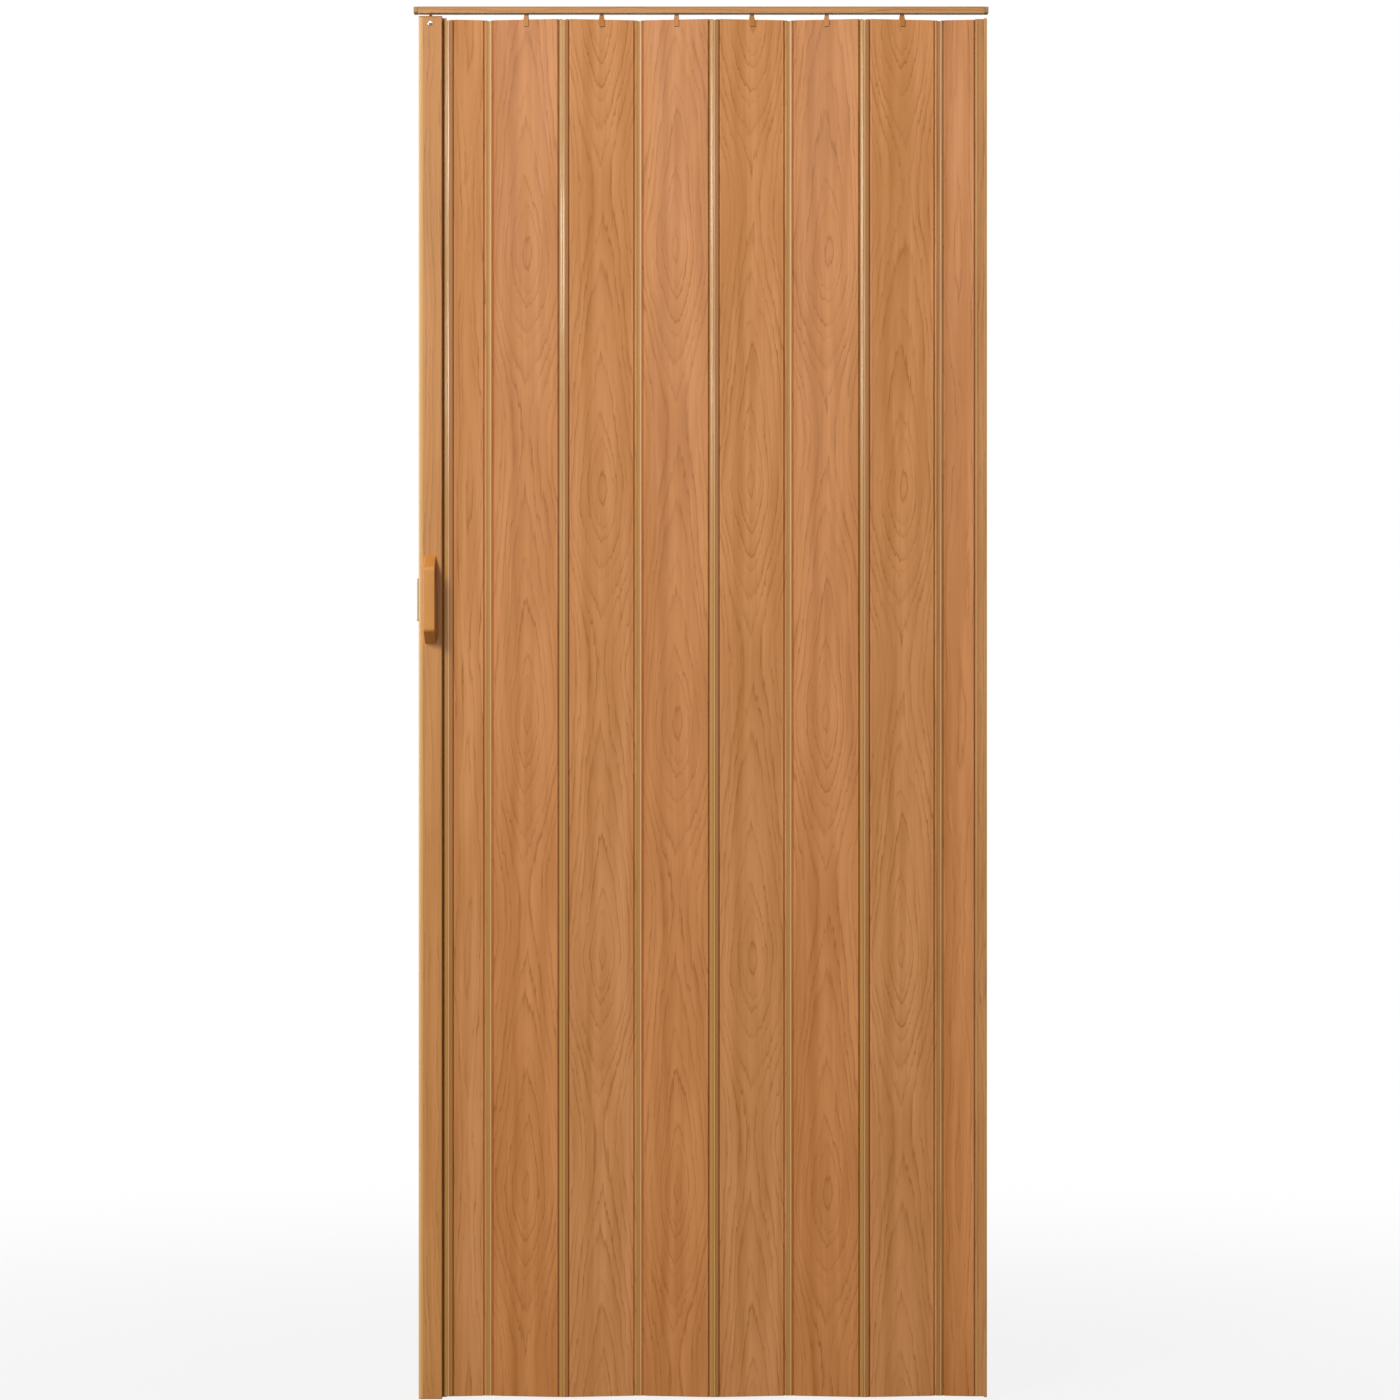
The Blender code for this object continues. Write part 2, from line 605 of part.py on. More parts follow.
def build_hanger(number, parent):
    """A moulded hanger: a clip over the panel's edge, a gable, and a round head in the track."""
    name = f"hanger_{number}"
    half = HANGER_WIDTH / 2
    neck = SLOT_WIDTH / 2 - SLIDING_GAP
    clip = PANEL_THICKNESS / 2 + RUNNING_GAP
    depth = clip + HANGER_LEG
    foot = PANEL_TOP - HANGER_REACH
    peak = -TRACK_HEIGHT - HANGER_PEAK_GAP
    middle = Matrix.Translation((-HALF_PITCH, 0, 0))
    upright = Matrix(((1, 0, 0, 0), (0, 0, -1, 0), (0, 1, 0, 0), (0, 0, 0, 1)))
    gable = arc((HANGER_LEG - half, foot + HANGER_LEG), HANGER_LEG, 180, 270, CORNER_STEPS)
    gable += arc((half - HANGER_LEG, foot + HANGER_LEG), HANGER_LEG, 270, 360, CORNER_STEPS)
    eaves = PANEL_TOP + RUNNING_GAP
    gable += [(half, eaves), (neck, peak), (-neck, peak), (-half, eaves)]
    hanger = extruded(name, [gable], -depth, depth, MOULDED, parent, middle @ upright)
    low = (-HALF_PITCH - HANGER_WIDTH, -clip, foot - HANGER_LEG)
    high = (-HALF_PITCH + HANGER_WIDTH, clip, eaves)
    cut(hanger, box(name + "_slot", low, high, parent))
    seat = LIP_TOP + SEAT_GAP
    crown = seat + HEAD_THICKNESS
    dish = HEAD_THICKNESS / 3
    profile = [
        (0, crown),
        (HEAD_RADIUS - dish, crown),
        (HEAD_RADIUS, crown - dish),
        (HEAD_RADIUS, seat),
        (neck, seat),
        (neck, peak - HANGER_PEAK_GAP),
        (0, peak - HANGER_PEAK_GAP),
    ]
    head = turned(name + "_head", profile, MOULDED, parent, middle)
    join(hanger, head)
    barb_half = WINDOW_WIDTH / 2 - RUNNING_GAP
    barb_top = PANEL_TOP - WINDOW_DROP - RUNNING_GAP
    barb_foot = PANEL_TOP - WINDOW_DROP - WINDOW_HEIGHT + RUNNING_GAP
    for side, label in ((-1, "front"), (1, "back")):
        ends = sorted((side * (PANEL_THICKNESS / 2 - BARB_DEPTH), side * (clip + HANGER_LEG / 2)))
        low = (-HALF_PITCH - barb_half, ends[0], barb_foot)
        high = (-HALF_PITCH + barb_half, ends[1], barb_top)
        join(hanger, box(f"{name}_{label}_barb", low, high, parent))


def build_post(parent):
    """The post's extrusion, drilled for the handle screws, the runner screw and the catch."""
    low = POST_FOOT + POST_CAP + SEAT_GAP
    high = POST_TOP - POST_CAP - SEAT_GAP
    post = extruded("lead_post", [post_loop()], low, high, FOIL, parent)
    over = POST_CORE
    cut(post, extruded("post_cells", post_cell_loops(), low - over, high + over, FOIL, parent))
    for label, level in handle_screw_levels():
        middle = (POST_MIDDLE, 0, level)
        radius = HANDLE_SCREW_RADIUS + HOLE_GAP
        cut(post, cylinder(f"post_{label}_hole", radius, middle, (0, 1, 0), 2 * POST_DEPTH, parent))
    middle = (POST_MIDDLE, -POST_DEPTH / 2, POST_TOP - RUNNER_SCREW_DROP)
    radius = RUNNER_SCREW_RADIUS + HOLE_GAP
    cut(post, cylinder("post_runner_hole", radius, middle, (0, 1, 0), 4 * POST_WALL, parent))
    for label, level in catch_screw_levels():
        middle = (-POST_HEEL - POST_WIDTH, 0, level)
        radius = CATCH_SCREW_RADIUS + HOLE_GAP
        cut(post, cylinder(f"post_{label}_hole", radius, middle, (1, 0, 0), 4 * POST_WALL, parent))
    # The default solver leaves slits in these long thin walls at some handle lengths
    for step in post.modifiers:
        step.solver = "MANIFOLD"


def build_post_runner(parent):
    """One moulding: a glider in the track, a neck, the post's top cap, and a tongue in its core."""
    tongue_foot = POST_TOP - TONGUE_LENGTH
    runner = extruded("post_runner", [post_box()], POST_TOP - POST_CAP, POST_TOP, MOULDED, parent)
    core = POST_CORE / 2 - SEAT_GAP
    reach = POST_DEPTH / 2 - POST_WALL - SEAT_GAP
    low = (POST_MIDDLE - core, -reach, tongue_foot)
    high = (POST_MIDDLE + core, reach, POST_TOP - POST_CAP / 2)
    join(runner, box("post_runner_tongue", low, high, parent))
    neck = SLOT_WIDTH / 2 - SLIDING_GAP
    seat = LIP_TOP + SEAT_GAP
    low = (POST_MIDDLE - RUNNER_NECK / 2, -neck, POST_TOP - POST_CAP / 2)
    high = (POST_MIDDLE + RUNNER_NECK / 2, neck, seat + HEAD_THICKNESS / 2)
    join(runner, box("post_runner_neck", low, high, parent))
    low = (POST_MIDDLE - RUNNER_LENGTH / 2, -HEAD_RADIUS)
    high = (POST_MIDDLE + RUNNER_LENGTH / 2, HEAD_RADIUS)
    shoe = rounded_box(low, high, [HEAD_RADIUS / 3] * 4)
    join(runner, extruded("post_runner_shoe", [shoe], seat, seat + HEAD_THICKNESS, MOULDED, parent))
    middle = (POST_MIDDLE, -reach, POST_TOP - RUNNER_SCREW_DROP)
    radius = RUNNER_SCREW_RADIUS + HOLE_GAP
    depth = 2 * RUNNER_SCREW_LENGTH
    cut(runner, cylinder("post_runner_pilot", radius, middle, (0, 1, 0), depth, parent))


def build_post_foot(parent):
    """The moulded cap that closes the foot of the post, with a plug in the core."""
    foot = extruded("post_foot_cap", [post_box()], POST_FOOT, POST_FOOT + POST_CAP, MOULDED, parent)
    core = POST_CORE / 2 - SEAT_GAP
    reach = POST_DEPTH / 2 - POST_WALL - SEAT_GAP
    low = (POST_MIDDLE - core, -reach, POST_FOOT + POST_CAP / 2)
    high = (POST_MIDDLE + core, reach, POST_FOOT + POST_CAP + FOOT_PLUG)
    join(foot, box("post_foot_plug", low, high, parent))


def screw_placement(place_at, axis):
    """Puts a turned screw, whose head looks along its own +Z, to look along an axis."""
    turn = Vector((0, 0, 1)).rotation_difference(Vector(axis)).to_matrix().to_4x4()
    return Matrix.Translation(place_at) @ turn


def cut_cross(screw, head_radius, top, depth, parent, placement):
    """Cuts a cross recess into the top of a screw's head."""
    long = head_radius * RECESS_REACH
    short = long * RECESS_SLOT
    for label, x, y in (("across", long, short), ("along", short, long)):
        low = (-x, -y, top - depth)
        high = (x, y, top + depth)
        cut(screw, box(f"{screw.name}_{label}", low, high, parent, placement))


def domed_screw(name, radius, length, head_radius, dome, finish, parent, placement):
    """A pan-headed screw with a cross recess; the underside of its head is at its own Z = 0."""
    sphere = (head_radius**2 + dome**2) / (2 * dome)
    rise = math.degrees(math.asin(head_radius / sphere))
    profile = arc((0, dome - sphere), sphere, 90, 90 - rise, CORNER_STEPS)
    profile[0] = (0, dome)
    point = radius * SCREW_POINT
    profile += [(radius, 0), (radius, point - length), (0, -length)]
    screw = turned(name, profile, finish, parent, placement)
    cut_cross(screw, head_radius, dome, dome / 2, parent, placement)


def build_runner_screw(parent):
    """The bright screw near the top of the post, through its front wall into the tongue."""
    face = (POST_MIDDLE, -POST_DEPTH / 2 - SEAT_GAP, POST_TOP - RUNNER_SCREW_DROP)
    where = screw_placement(face, (0, -1, 0))
    domed_screw(
        "runner_screw", RUNNER_SCREW_RADIUS, RUNNER_SCREW_LENGTH - SEAT_GAP,
        RUNNER_SCREW_HEAD, RUNNER_SCREW_DOME, CHROME, parent, where,
    )


def handle_screw_levels():
    reach = HANDLE_LENGTH / 2 - HANDLE_SCREW_INSET
    return [("handle_upper", reach - HANDLE_LEVEL), ("handle_lower", -reach - HANDLE_LEVEL)]


def handle_loops():
    """A bow in stand-off and height: a flat grip on two sloping legs, about the handle's level."""
    foot = HANDLE_LENGTH / 2
    grip = HANDLE_GRIP / 2
    inner = HANDLE_STANDOFF - HANDLE_GRIP_THICKNESS
    inner_foot = foot - HANDLE_FOOT
    inner_grip = grip - HANDLE_SHOULDER
    return [
        [
            (0, -foot),
            (HANDLE_STANDOFF, -grip),
            (HANDLE_STANDOFF, grip),
            (0, foot),
            (0, inner_foot),
            (inner, inner_grip),
            (inner, -inner_grip),
            (0, -inner_foot),
        ]
    ]


def build_handle(name, front, parent):
    """A moulded bow handle; the front one takes the screws' ends, the back one their heads."""
    side = -1 if front else 1
    half = HANDLE_WIDTH / 2
    face = side * (POST_DEPTH / 2 + SEAT_GAP)
    stand = Matrix.Translation((POST_MIDDLE, face, -HANDLE_LEVEL)) @ from_face(front)
    handle = extruded(name, handle_loops(), -half, half, MOULDED, parent, stand)
    soften = handle.modifiers.new("softened_edges", "BEVEL")
    soften.width = HANDLE_EDGE
    soften.segments = 2
    soften.limit_method = "ANGLE"
    soften.angle_limit = math.radians(SOFTEN_ABOVE)
    through = (0, 1, 0)
    bore = HANDLE_SCREW_RADIUS + HOLE_GAP
    for label, level in handle_screw_levels():
        middle = (POST_MIDDLE, face, level)
        if front:
            depth = 2 * (HANDLE_SCREW_BITE + HOLE_GAP)
            cut(handle, cylinder(f"{label}_pilot", bore, middle, through, depth, parent))
        else:
            length = 2 * HANDLE_STANDOFF
            cut(handle, cylinder(f"{label}_bore", bore, middle, through, length, parent))
            name = f"{label}_counterbore"
            wide = HANDLE_SCREW_HEAD + HOLE_GAP
            middle = (POST_MIDDLE, face + HANDLE_SCREW_SEAT + HANDLE_STANDOFF / 2, level)
            cut(handle, cylinder(name, wide, middle, through, HANDLE_STANDOFF, parent))


def build_handle_screws(parent):
    """Two long screws, from the back handle's legs through the post into the front handle."""
    seat = POST_DEPTH / 2 + SEAT_GAP + HANDLE_SCREW_SEAT + SEAT_GAP
    length = seat + POST_DEPTH / 2 + SEAT_GAP + HANDLE_SCREW_BITE
    for label, level in handle_screw_levels():
        where = screw_placement((POST_MIDDLE, seat, level), (0, 1, 0))
        domed_screw(
            label + "_screw", HANDLE_SCREW_RADIUS, length,
            HANDLE_SCREW_HEAD, HANDLE_SCREW_DOME, ZINC, parent, where,
        )


def catch_screw_levels():
    reach = CATCH_LENGTH / 2 - CATCH_SCREW_INSET
    return [("catch_upper", reach - HANDLE_LEVEL), ("catch_lower", -reach - HANDLE_LEVEL)]


def build_catch(parent):
    """The catch's pale case on the post's nose, with a pocket for the magnet and two screws."""
    nose = -POST_HEEL - POST_WIDTH
    half = CATCH_DEPTH / 2
    reach = CATCH_LENGTH / 2
    plate = rounded_box((-half, -reach), (half, reach), [CATCH_ROUND] * 4)
    stand = Matrix.Translation((nose, 0, -HANDLE_LEVEL)) @ along_x()
    case = extruded("catch_case", [plate], -CATCH_THICKNESS, -SEAT_GAP, PALE, parent, stand)
    pocket_half = MAGNET_DEPTH / 2 + SEAT_GAP
    pocket_reach = MAGNET_LENGTH / 2 + SEAT_GAP
    floor = nose - CATCH_THICKNESS + MAGNET_THICKNESS + SEAT_GAP
    low = (nose - 2 * CATCH_THICKNESS, -pocket_half, -HANDLE_LEVEL - pocket_reach)
    high = (floor, pocket_half, -HANDLE_LEVEL + pocket_reach)
    cut(case, box("catch_pocket", low, high, parent))
    for label, level in catch_screw_levels():
        where = screw_placement((nose - CATCH_THICKNESS, 0, level), (-1, 0, 0))
        wide = CATCH_SCREW_HEAD + HOLE_GAP
        narrow = CATCH_SCREW_RADIUS + HOLE_GAP
        profile = [
            (0, CATCH_THICKNESS),
            (wide, CATCH_THICKNESS),
            (wide, 0),
            (narrow, -CATCH_SCREW_CONE),
            (narrow, -2 * CATCH_THICKNESS),
            (0, -2 * CATCH_THICKNESS),
        ]
        cut(case, turned(label + "_countersink", profile, PALE, parent, where))
    magnet_half = MAGNET_DEPTH / 2
    magnet_reach = MAGNET_LENGTH / 2
    bar = rounded_box((-magnet_half, -magnet_reach), (magnet_half, magnet_reach), [SEAT_GAP] * 4)
    outer = -CATCH_THICKNESS
    extruded("catch_magnet", [bar], outer, outer + MAGNET_THICKNESS, MAGNET, parent, stand)


def build_catch_screws(parent):
    """Two small countersunk screws through the case into the post's nose."""
    nose = -POST_HEEL - POST_WIDTH
    for label, level in catch_screw_levels():
        where = screw_placement((nose - CATCH_THICKNESS, 0, level), (-1, 0, 0))
        point = CATCH_SCREW_RADIUS * SCREW_POINT
        sink = HOLE_GAP
        profile = [
            (0, -sink),
            (CATCH_SCREW_HEAD - sink, -sink),
            (CATCH_SCREW_RADIUS, -CATCH_SCREW_CONE),
            (CATCH_SCREW_RADIUS, point - CATCH_SCREW_LENGTH),
            (0, -CATCH_SCREW_LENGTH),
        ]
        screw = turned(label + "_screw", profile, ZINC, parent, where)
        cut_cross(screw, CATCH_SCREW_HEAD, -sink, CATCH_SCREW_CONE / 2, parent, where)


def hinge_axis(name, parent, x, turn):
    """An empty on a hinge's axis, turned with the piece that it carries."""
    empty = bpy.data.objects.new(name, None)
    empty.empty_display_size = 0.02
    place(empty, parent, Matrix.Translation((x, 0, 0)) @ Matrix.Rotation(math.radians(turn), 4, "Z"))
    return empty


def build_concertina():
    """The folding chain, from the wall to the post. Each hinge turns by the rest angle."""
    turns = [-1, 1, 1, -1]
    axis = hinge_axis("axis_half_panel_right", None, JAMB_PIVOT, turns[0] * REST_ANGLE)
    build_panel("half_panel_right", axis, HALF_PITCH, HALF_PANEL_CELLS)
    reach = HALF_PITCH
    hinge = 1
    for number in range(FOLDS, 0, -1):
        name = f"hinge_strip_{number}"
        axis = hinge_axis("axis_" + name, axis, -reach, turns[hinge % 4] * REST_ANGLE)
        build_strip(name, axis, -1 if number % 2 else 1)
        hinge += 1
        last = number == 1
        name = "half_panel_left" if last else f"panel_{number - 1}"
        axis = hinge_axis("axis_" + name, axis, -STRIP_PITCH, turns[hinge % 4] * REST_ANGLE)
        hinge += 1
        reach = HALF_PITCH if last else PANEL_PITCH
        panel = build_panel(name, axis, reach, HALF_PANEL_CELLS if last else PANEL_CELLS)
        if not last:
            cut_windows(panel, number - 1, axis)
            build_hanger(number - 1, axis)
    return hinge_axis("axis_lead_post", axis, -reach, turns[hinge % 4] * REST_ANGLE)


for item in list(bpy.data.objects):
    bpy.data.objects.remove(item, do_unlink=True)
parts = bpy.data.collections.new("folding_door")
cutters = bpy.data.collections.new("cutters")
bpy.context.scene.collection.children.link(parts)
bpy.context.scene.collection.children.link(cutters)

build_track()
build_track_cap("track_cap_left", -1)
build_track_cap("track_cap_right", 1)
build_jamb()
post_axis = build_concertina()
build_strip("post_hinge_strip", post_axis, 1)
build_post(post_axis)
build_post_runner(post_axis)
build_post_foot(post_axis)
build_runner_screw(post_axis)
build_handle("handle_front", True, post_axis)
build_handle("handle_back", False, post_axis)
build_handle_screws(post_axis)
build_catch(post_axis)
build_catch_screws(post_axis)
for piece in parts.objects:
    if any(step.type == "BOOLEAN" for step in piece.modifiers):
        clean_cuts(piece)
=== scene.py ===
"""Looks of a concertina folding door: its finishes and fine shapes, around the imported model."""

import json
import math

import bmesh
import bpy
import numpy as np
from mathutils import Matrix, Vector


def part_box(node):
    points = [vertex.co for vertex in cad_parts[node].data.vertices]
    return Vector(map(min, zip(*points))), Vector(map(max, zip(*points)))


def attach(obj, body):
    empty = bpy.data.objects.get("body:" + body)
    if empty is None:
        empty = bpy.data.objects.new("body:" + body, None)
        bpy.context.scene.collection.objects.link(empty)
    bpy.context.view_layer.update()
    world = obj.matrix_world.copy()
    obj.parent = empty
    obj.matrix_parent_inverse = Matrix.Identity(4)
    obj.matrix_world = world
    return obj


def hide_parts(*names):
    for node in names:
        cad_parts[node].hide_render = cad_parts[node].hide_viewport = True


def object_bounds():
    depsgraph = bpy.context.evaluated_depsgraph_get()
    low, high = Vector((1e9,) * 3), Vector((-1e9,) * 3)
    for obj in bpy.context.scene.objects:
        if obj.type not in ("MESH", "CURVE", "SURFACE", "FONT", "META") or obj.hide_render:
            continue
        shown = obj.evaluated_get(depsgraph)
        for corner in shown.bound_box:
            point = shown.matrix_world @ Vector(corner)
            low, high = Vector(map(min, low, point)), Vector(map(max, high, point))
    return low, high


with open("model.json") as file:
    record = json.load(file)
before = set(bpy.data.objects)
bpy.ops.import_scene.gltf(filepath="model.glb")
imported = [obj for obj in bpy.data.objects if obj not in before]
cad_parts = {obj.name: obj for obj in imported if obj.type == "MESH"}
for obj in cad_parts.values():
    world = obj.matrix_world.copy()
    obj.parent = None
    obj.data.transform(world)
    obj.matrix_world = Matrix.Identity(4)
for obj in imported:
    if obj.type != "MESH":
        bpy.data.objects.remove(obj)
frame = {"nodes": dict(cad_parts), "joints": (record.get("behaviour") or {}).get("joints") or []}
cad_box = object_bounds()


# Camera, floor and light. A long lens stands 7 m in front of the door at half its height, where
# it sees the track and the panels' feet alike. The floor is grey card that looks pale to the
# camera, the background is white, and four soft lamps light the door.
VIEW_DISTANCE = 7.0
VIEW_SPAN = 2.057
VIEW_X = -0.0015
VIEW_Z = -1.0172
FLOOR_GAP = 0.0030
FLOOR_SIZE = 40.0
FLOOR_NEAR = 0.50
FLOOR_FAR = 3.50
FLOOR_WHITE_NEAR = 0.86
FLOOR_SPOTS_PER_METRE = 900.0
ROOM_FILL = 0.15
KEY_POWER = 367.0
FRONT_POWER = 33.0
SIDE_POWER = 48.0
BACK_POWER = 150.0


def linear(hex_colour):
    """An sRGB hex colour as the linear values that a shader takes."""
    channels = [int(hex_colour[i : i + 2], 16) / 255 for i in (1, 3, 5)]
    return (*[c / 12.92 if c <= 0.04045 else ((c + 0.055) / 1.055) ** 2.4 for c in channels], 1)


def add(tree, kind, inputs, stops=(), **settings):
    """Adds a node. A node or socket among its inputs is linked, any other value is set on the
    socket; stops are a ramp's places and colours, its first and last stop first; settings are
    the node's own properties."""
    made = tree.nodes.new(kind)
    for key, value in settings.items():
        setattr(made, key, value)
    for key, value in inputs.items():
        if isinstance(value, bpy.types.Node):
            value = value.outputs[0]
        if isinstance(value, bpy.types.NodeSocket):
            tree.links.new(value, made.inputs[key])
        else:
            made.inputs[key].default_value = value
    for index, (position, colour) in enumerate(stops):
        elements = made.color_ramp.elements
        stop = elements[index] if index < 2 else elements.new(position)
        stop.position = position
        stop.color = colour
    return made


def soft_lamp(name, place, aim, width, height, power):
    """A rectangular lamp that looks from its place at the point it is aimed at."""
    lamp = bpy.data.objects.new(name, bpy.data.lights.new(name, "AREA"))
    lamp.data.shape = "RECTANGLE"
    lamp.data.size = width
    lamp.data.size_y = height
    lamp.data.energy = power
    lamp.location = place
    lamp.rotation_euler = (Vector(aim) - Vector(place)).to_track_quat("-Z", "Y").to_euler()
    bpy.context.scene.collection.objects.link(lamp)


camera = bpy.data.objects.new("camera", bpy.data.cameras.new("camera"))
camera.location = (VIEW_X, -VIEW_DISTANCE, VIEW_Z)
camera.rotation_euler = (math.radians(90), 0, 0)
camera.data.lens = camera.data.sensor_width * VIEW_DISTANCE / VIEW_SPAN
bpy.context.scene.collection.objects.link(camera)
bpy.context.scene.camera = camera
bpy.context.scene.view_settings.view_transform = "Standard"

# The key lamp stands well above and left of the camera, a smaller one in front of the upper half
# puts the gloss on the strips, a tall one grazes the left edge, and one behind the door and to
# its right lights its back and its right side.
soft_lamp(
    "key", place=(-2.7, -5.2, 2.8), aim=(0, 0, -1.2), width=1.6, height=1.4, power=KEY_POWER
)
soft_lamp(
    "front", place=(-0.95, -4.4, 0.1), aim=(0, 0, -1.0), width=0.9, height=0.85, power=FRONT_POWER
)
soft_lamp(
    "side", place=(-3.0, 0.15, -0.7), aim=(0, 0, -0.8), width=0.5, height=2.0, power=SIDE_POWER
)
soft_lamp(
    "back", place=(3.2, 3.9, 1.6), aim=(0, 0, -1.1), width=1.8, height=1.4, power=BACK_POWER
)

world = bpy.data.worlds.new("white_room")
world.use_nodes = True
world.node_tree.nodes.clear()
bpy.context.scene.world = world
tree = world.node_tree
path = add(tree, "ShaderNodeLightPath", {})
seen = add(
    tree, "ShaderNodeMath",
    {0: path.outputs["Is Camera Ray"], 1: path.outputs["Is Glossy Ray"]}, operation="ADD",
)
seen = add(
    tree, "ShaderNodeMath",
    {0: seen, 1: path.outputs["Is Transmission Ray"]}, operation="ADD", use_clamp=True,
)
fill = add(tree, "ShaderNodeBackground", {"Color": linear("#FFFFFF"), "Strength": ROOM_FILL})
white = add(tree, "ShaderNodeBackground", {"Color": linear("#FFFFFF"), "Strength": 1.0})
room = add(tree, "ShaderNodeMixShader", {0: seen, 1: fill, 2: white})
add(tree, "ShaderNodeOutputWorld", {"Surface": room})


def new_material(name):
    """An empty node material, with its shader linked to its output."""
    material = bpy.data.materials.new(name)
    material.use_nodes = True
    material.node_tree.nodes.clear()
    shader = add(material.node_tree, "ShaderNodeBsdfPrincipled", {})
    add(material.node_tree, "ShaderNodeOutputMaterial", {"Surface": shader})
    return material, material.node_tree, shader


def link(tree, shader, sockets):
    """Links or sets the shader's own sockets."""
    for key, value in sockets.items():
        if isinstance(value, bpy.types.Node):
            tree.links.new(value.outputs[0], shader.inputs[key])
        else:
            shader.inputs[key].default_value = value


def pale_card():
    """Matt card that keeps a soft shadow. It is grey to the lamps, so that it throws little
    light back up. To the camera it is pale near the door and whiter the farther it lies from
    it, until it is as white as the room."""
    material, tree, shader = new_material("pale_card")
    place = add(tree, "ShaderNodeTexCoord", {})
    spots = add(
        tree, "ShaderNodeTexNoise",
        {"Vector": place.outputs["Object"], "Scale": FLOOR_SPOTS_PER_METRE, "Detail": 2.0},
    )
    tone = add(
        tree, "ShaderNodeMixRGB",
        {0: spots, 1: linear("#7C7C7A"), 2: linear("#868684")},
    )
    link(tree, shader, {"Base Color": tone, "Roughness": 0.9})
    glow = add(tree, "ShaderNodeEmission", {"Color": linear("#FFFFFF"), "Strength": 1.0})
    path = add(tree, "ShaderNodeLightPath", {})
    flat = add(
        tree, "ShaderNodeVectorMath", {0: place.outputs["Object"], 1: (1, 1, 0)},
        operation="MULTIPLY",
    )
    away = add(tree, "ShaderNodeVectorMath", {0: flat}, operation="LENGTH")
    fade = add(
        tree, "ShaderNodeMapRange",
        {0: away.outputs["Value"], 1: FLOOR_NEAR, 2: FLOOR_FAR, 3: FLOOR_WHITE_NEAR, 4: 1.0},
        interpolation_type="SMOOTHSTEP",
    )
    share = add(
        tree, "ShaderNodeMath", {0: path.outputs["Is Camera Ray"], 1: fade}, operation="MULTIPLY"
    )
    both = add(tree, "ShaderNodeMixShader", {0: share, 1: shader, 2: glow})
    output = next(n for n in tree.nodes if n.type == "OUTPUT_MATERIAL")
    tree.links.new(both.outputs[0], output.inputs["Surface"])
    return material


floor_mesh = bpy.data.meshes.new("floor")
floor_level = cad_box[0][2] - FLOOR_GAP
corners = np.array([(-1, -1), (1, -1), (1, 1), (-1, 1)]) * FLOOR_SIZE / 2
floor_mesh.from_pydata([(x, y, floor_level) for x, y in corners], [], [(0, 1, 2, 3)])
floor = bpy.data.objects.new("floor", floor_mesh)
floor.data.materials.append(pale_card())
bpy.context.scene.collection.objects.link(floor)


# Panels. Hollow PVC extrusions under a printed beech foil: six full ones and a half one at each
# end. Each is 7 mm thick, with rounded edges, a fine groove near each edge and a bead that snaps
# into a hinge strip. The foil repeats a plain-sawn pattern, cut at another height on each panel.
MERGE = 0.000001
FLAT = math.radians(0.5)
SMOOTH_BELOW = math.radians(35)
BEVEL_SEGMENTS = 2
LARGE_FACES_WIN = 100
PRINT_REPEAT = 1.38
PRINT_START = 0.70
PRINT_STEP = 0.25
RING_SPACING = 0.0072
RING_DEPTH = 0.050
RING_DRIFT = 0.008
RING_LEAN = 0.42
RING_POWER = 1.5
RING_UNEVEN = 0.0014
RING_GROUP = 0.0165
FAINTEST_RING = 0.42
BAND_PLACE = -0.018
BAND_WIDTH = 0.009
SHEEN_SPREAD = 0.08
HALF_PANEL_FLAME = 0.3
LEFT_FACING_TONES = ("#CA864B", "#B06D2E", "#94540E")
# The panels that face right catch less of the lamps' sheen, so they take paler, bluer tones:
# painted sheen.
RIGHT_FACING_TONES_WITH_PAINTED_SHEEN = ("#D4925A", "#BC7C40", "#9A5C16")
PANEL_NAMES = ["half_panel_left"] + [f"panel_{n}" for n in range(1, 7)] + ["half_panel_right"]


def whole_copy(name, node, rounding=0.0):
    """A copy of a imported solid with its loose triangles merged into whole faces, smooth round
    its curves. Rounding is the radius taken off its sharp edges."""
    shape = bmesh.new()
    shape.from_mesh(frame["nodes"][node].data)
    bmesh.ops.remove_doubles(shape, verts=shape.verts, dist=MERGE)
    bmesh.ops.dissolve_limit(shape, angle_limit=FLAT, verts=shape.verts, edges=shape.edges)
    mesh = bpy.data.meshes.new(name)
    shape.to_mesh(mesh)
    shape.free()
    mesh.shade_smooth()
    mesh.set_sharp_from_angle(angle=SMOOTH_BELOW)
    piece = bpy.data.objects.new(name, mesh)
    bpy.context.scene.collection.objects.link(piece)
    if rounding:
        bevel = piece.modifiers.new("rounded_edges", "BEVEL")
        bevel.width = rounding
        bevel.segments = BEVEL_SEGMENTS
        bevel.limit_method = "ANGLE"
        bevel.angle_limit = SMOOTH_BELOW
    level = piece.modifiers.new("level_faces", "WEIGHTED_NORMAL")
    level.keep_sharp = True
    level.weight = LARGE_FACES_WIN
    return piece


def fit(piece, body, node, material):
    """Gives a piece its material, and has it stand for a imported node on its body."""
    piece.data.materials.clear()
    piece.data.materials.append(material)
    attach(piece, body)
    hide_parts(node)


def blotches(tree, place, width, length, detail, seed, least, most, start=0.0, end=1.0):
    """Noise whose blotches are that wide and long, in metres. As the noise goes from start to
    end, the result goes from least to most."""
    scaled = add(
        tree, "ShaderNodeVectorMath",
        {0: place, 1: (1 / width, 1 / width, 1 / length)}, operation="MULTIPLY",
    )
    moved = add(tree, "ShaderNodeVectorMath", {0: scaled, 1: (seed, seed, seed)}, operation="ADD")
    noise = add(tree, "ShaderNodeTexNoise", {"Vector": moved, "Scale": 1.0, "Detail": detail})
    return add(tree, "ShaderNodeMapRange", {0: noise, 1: start, 2: end, 3: least, 4: most})


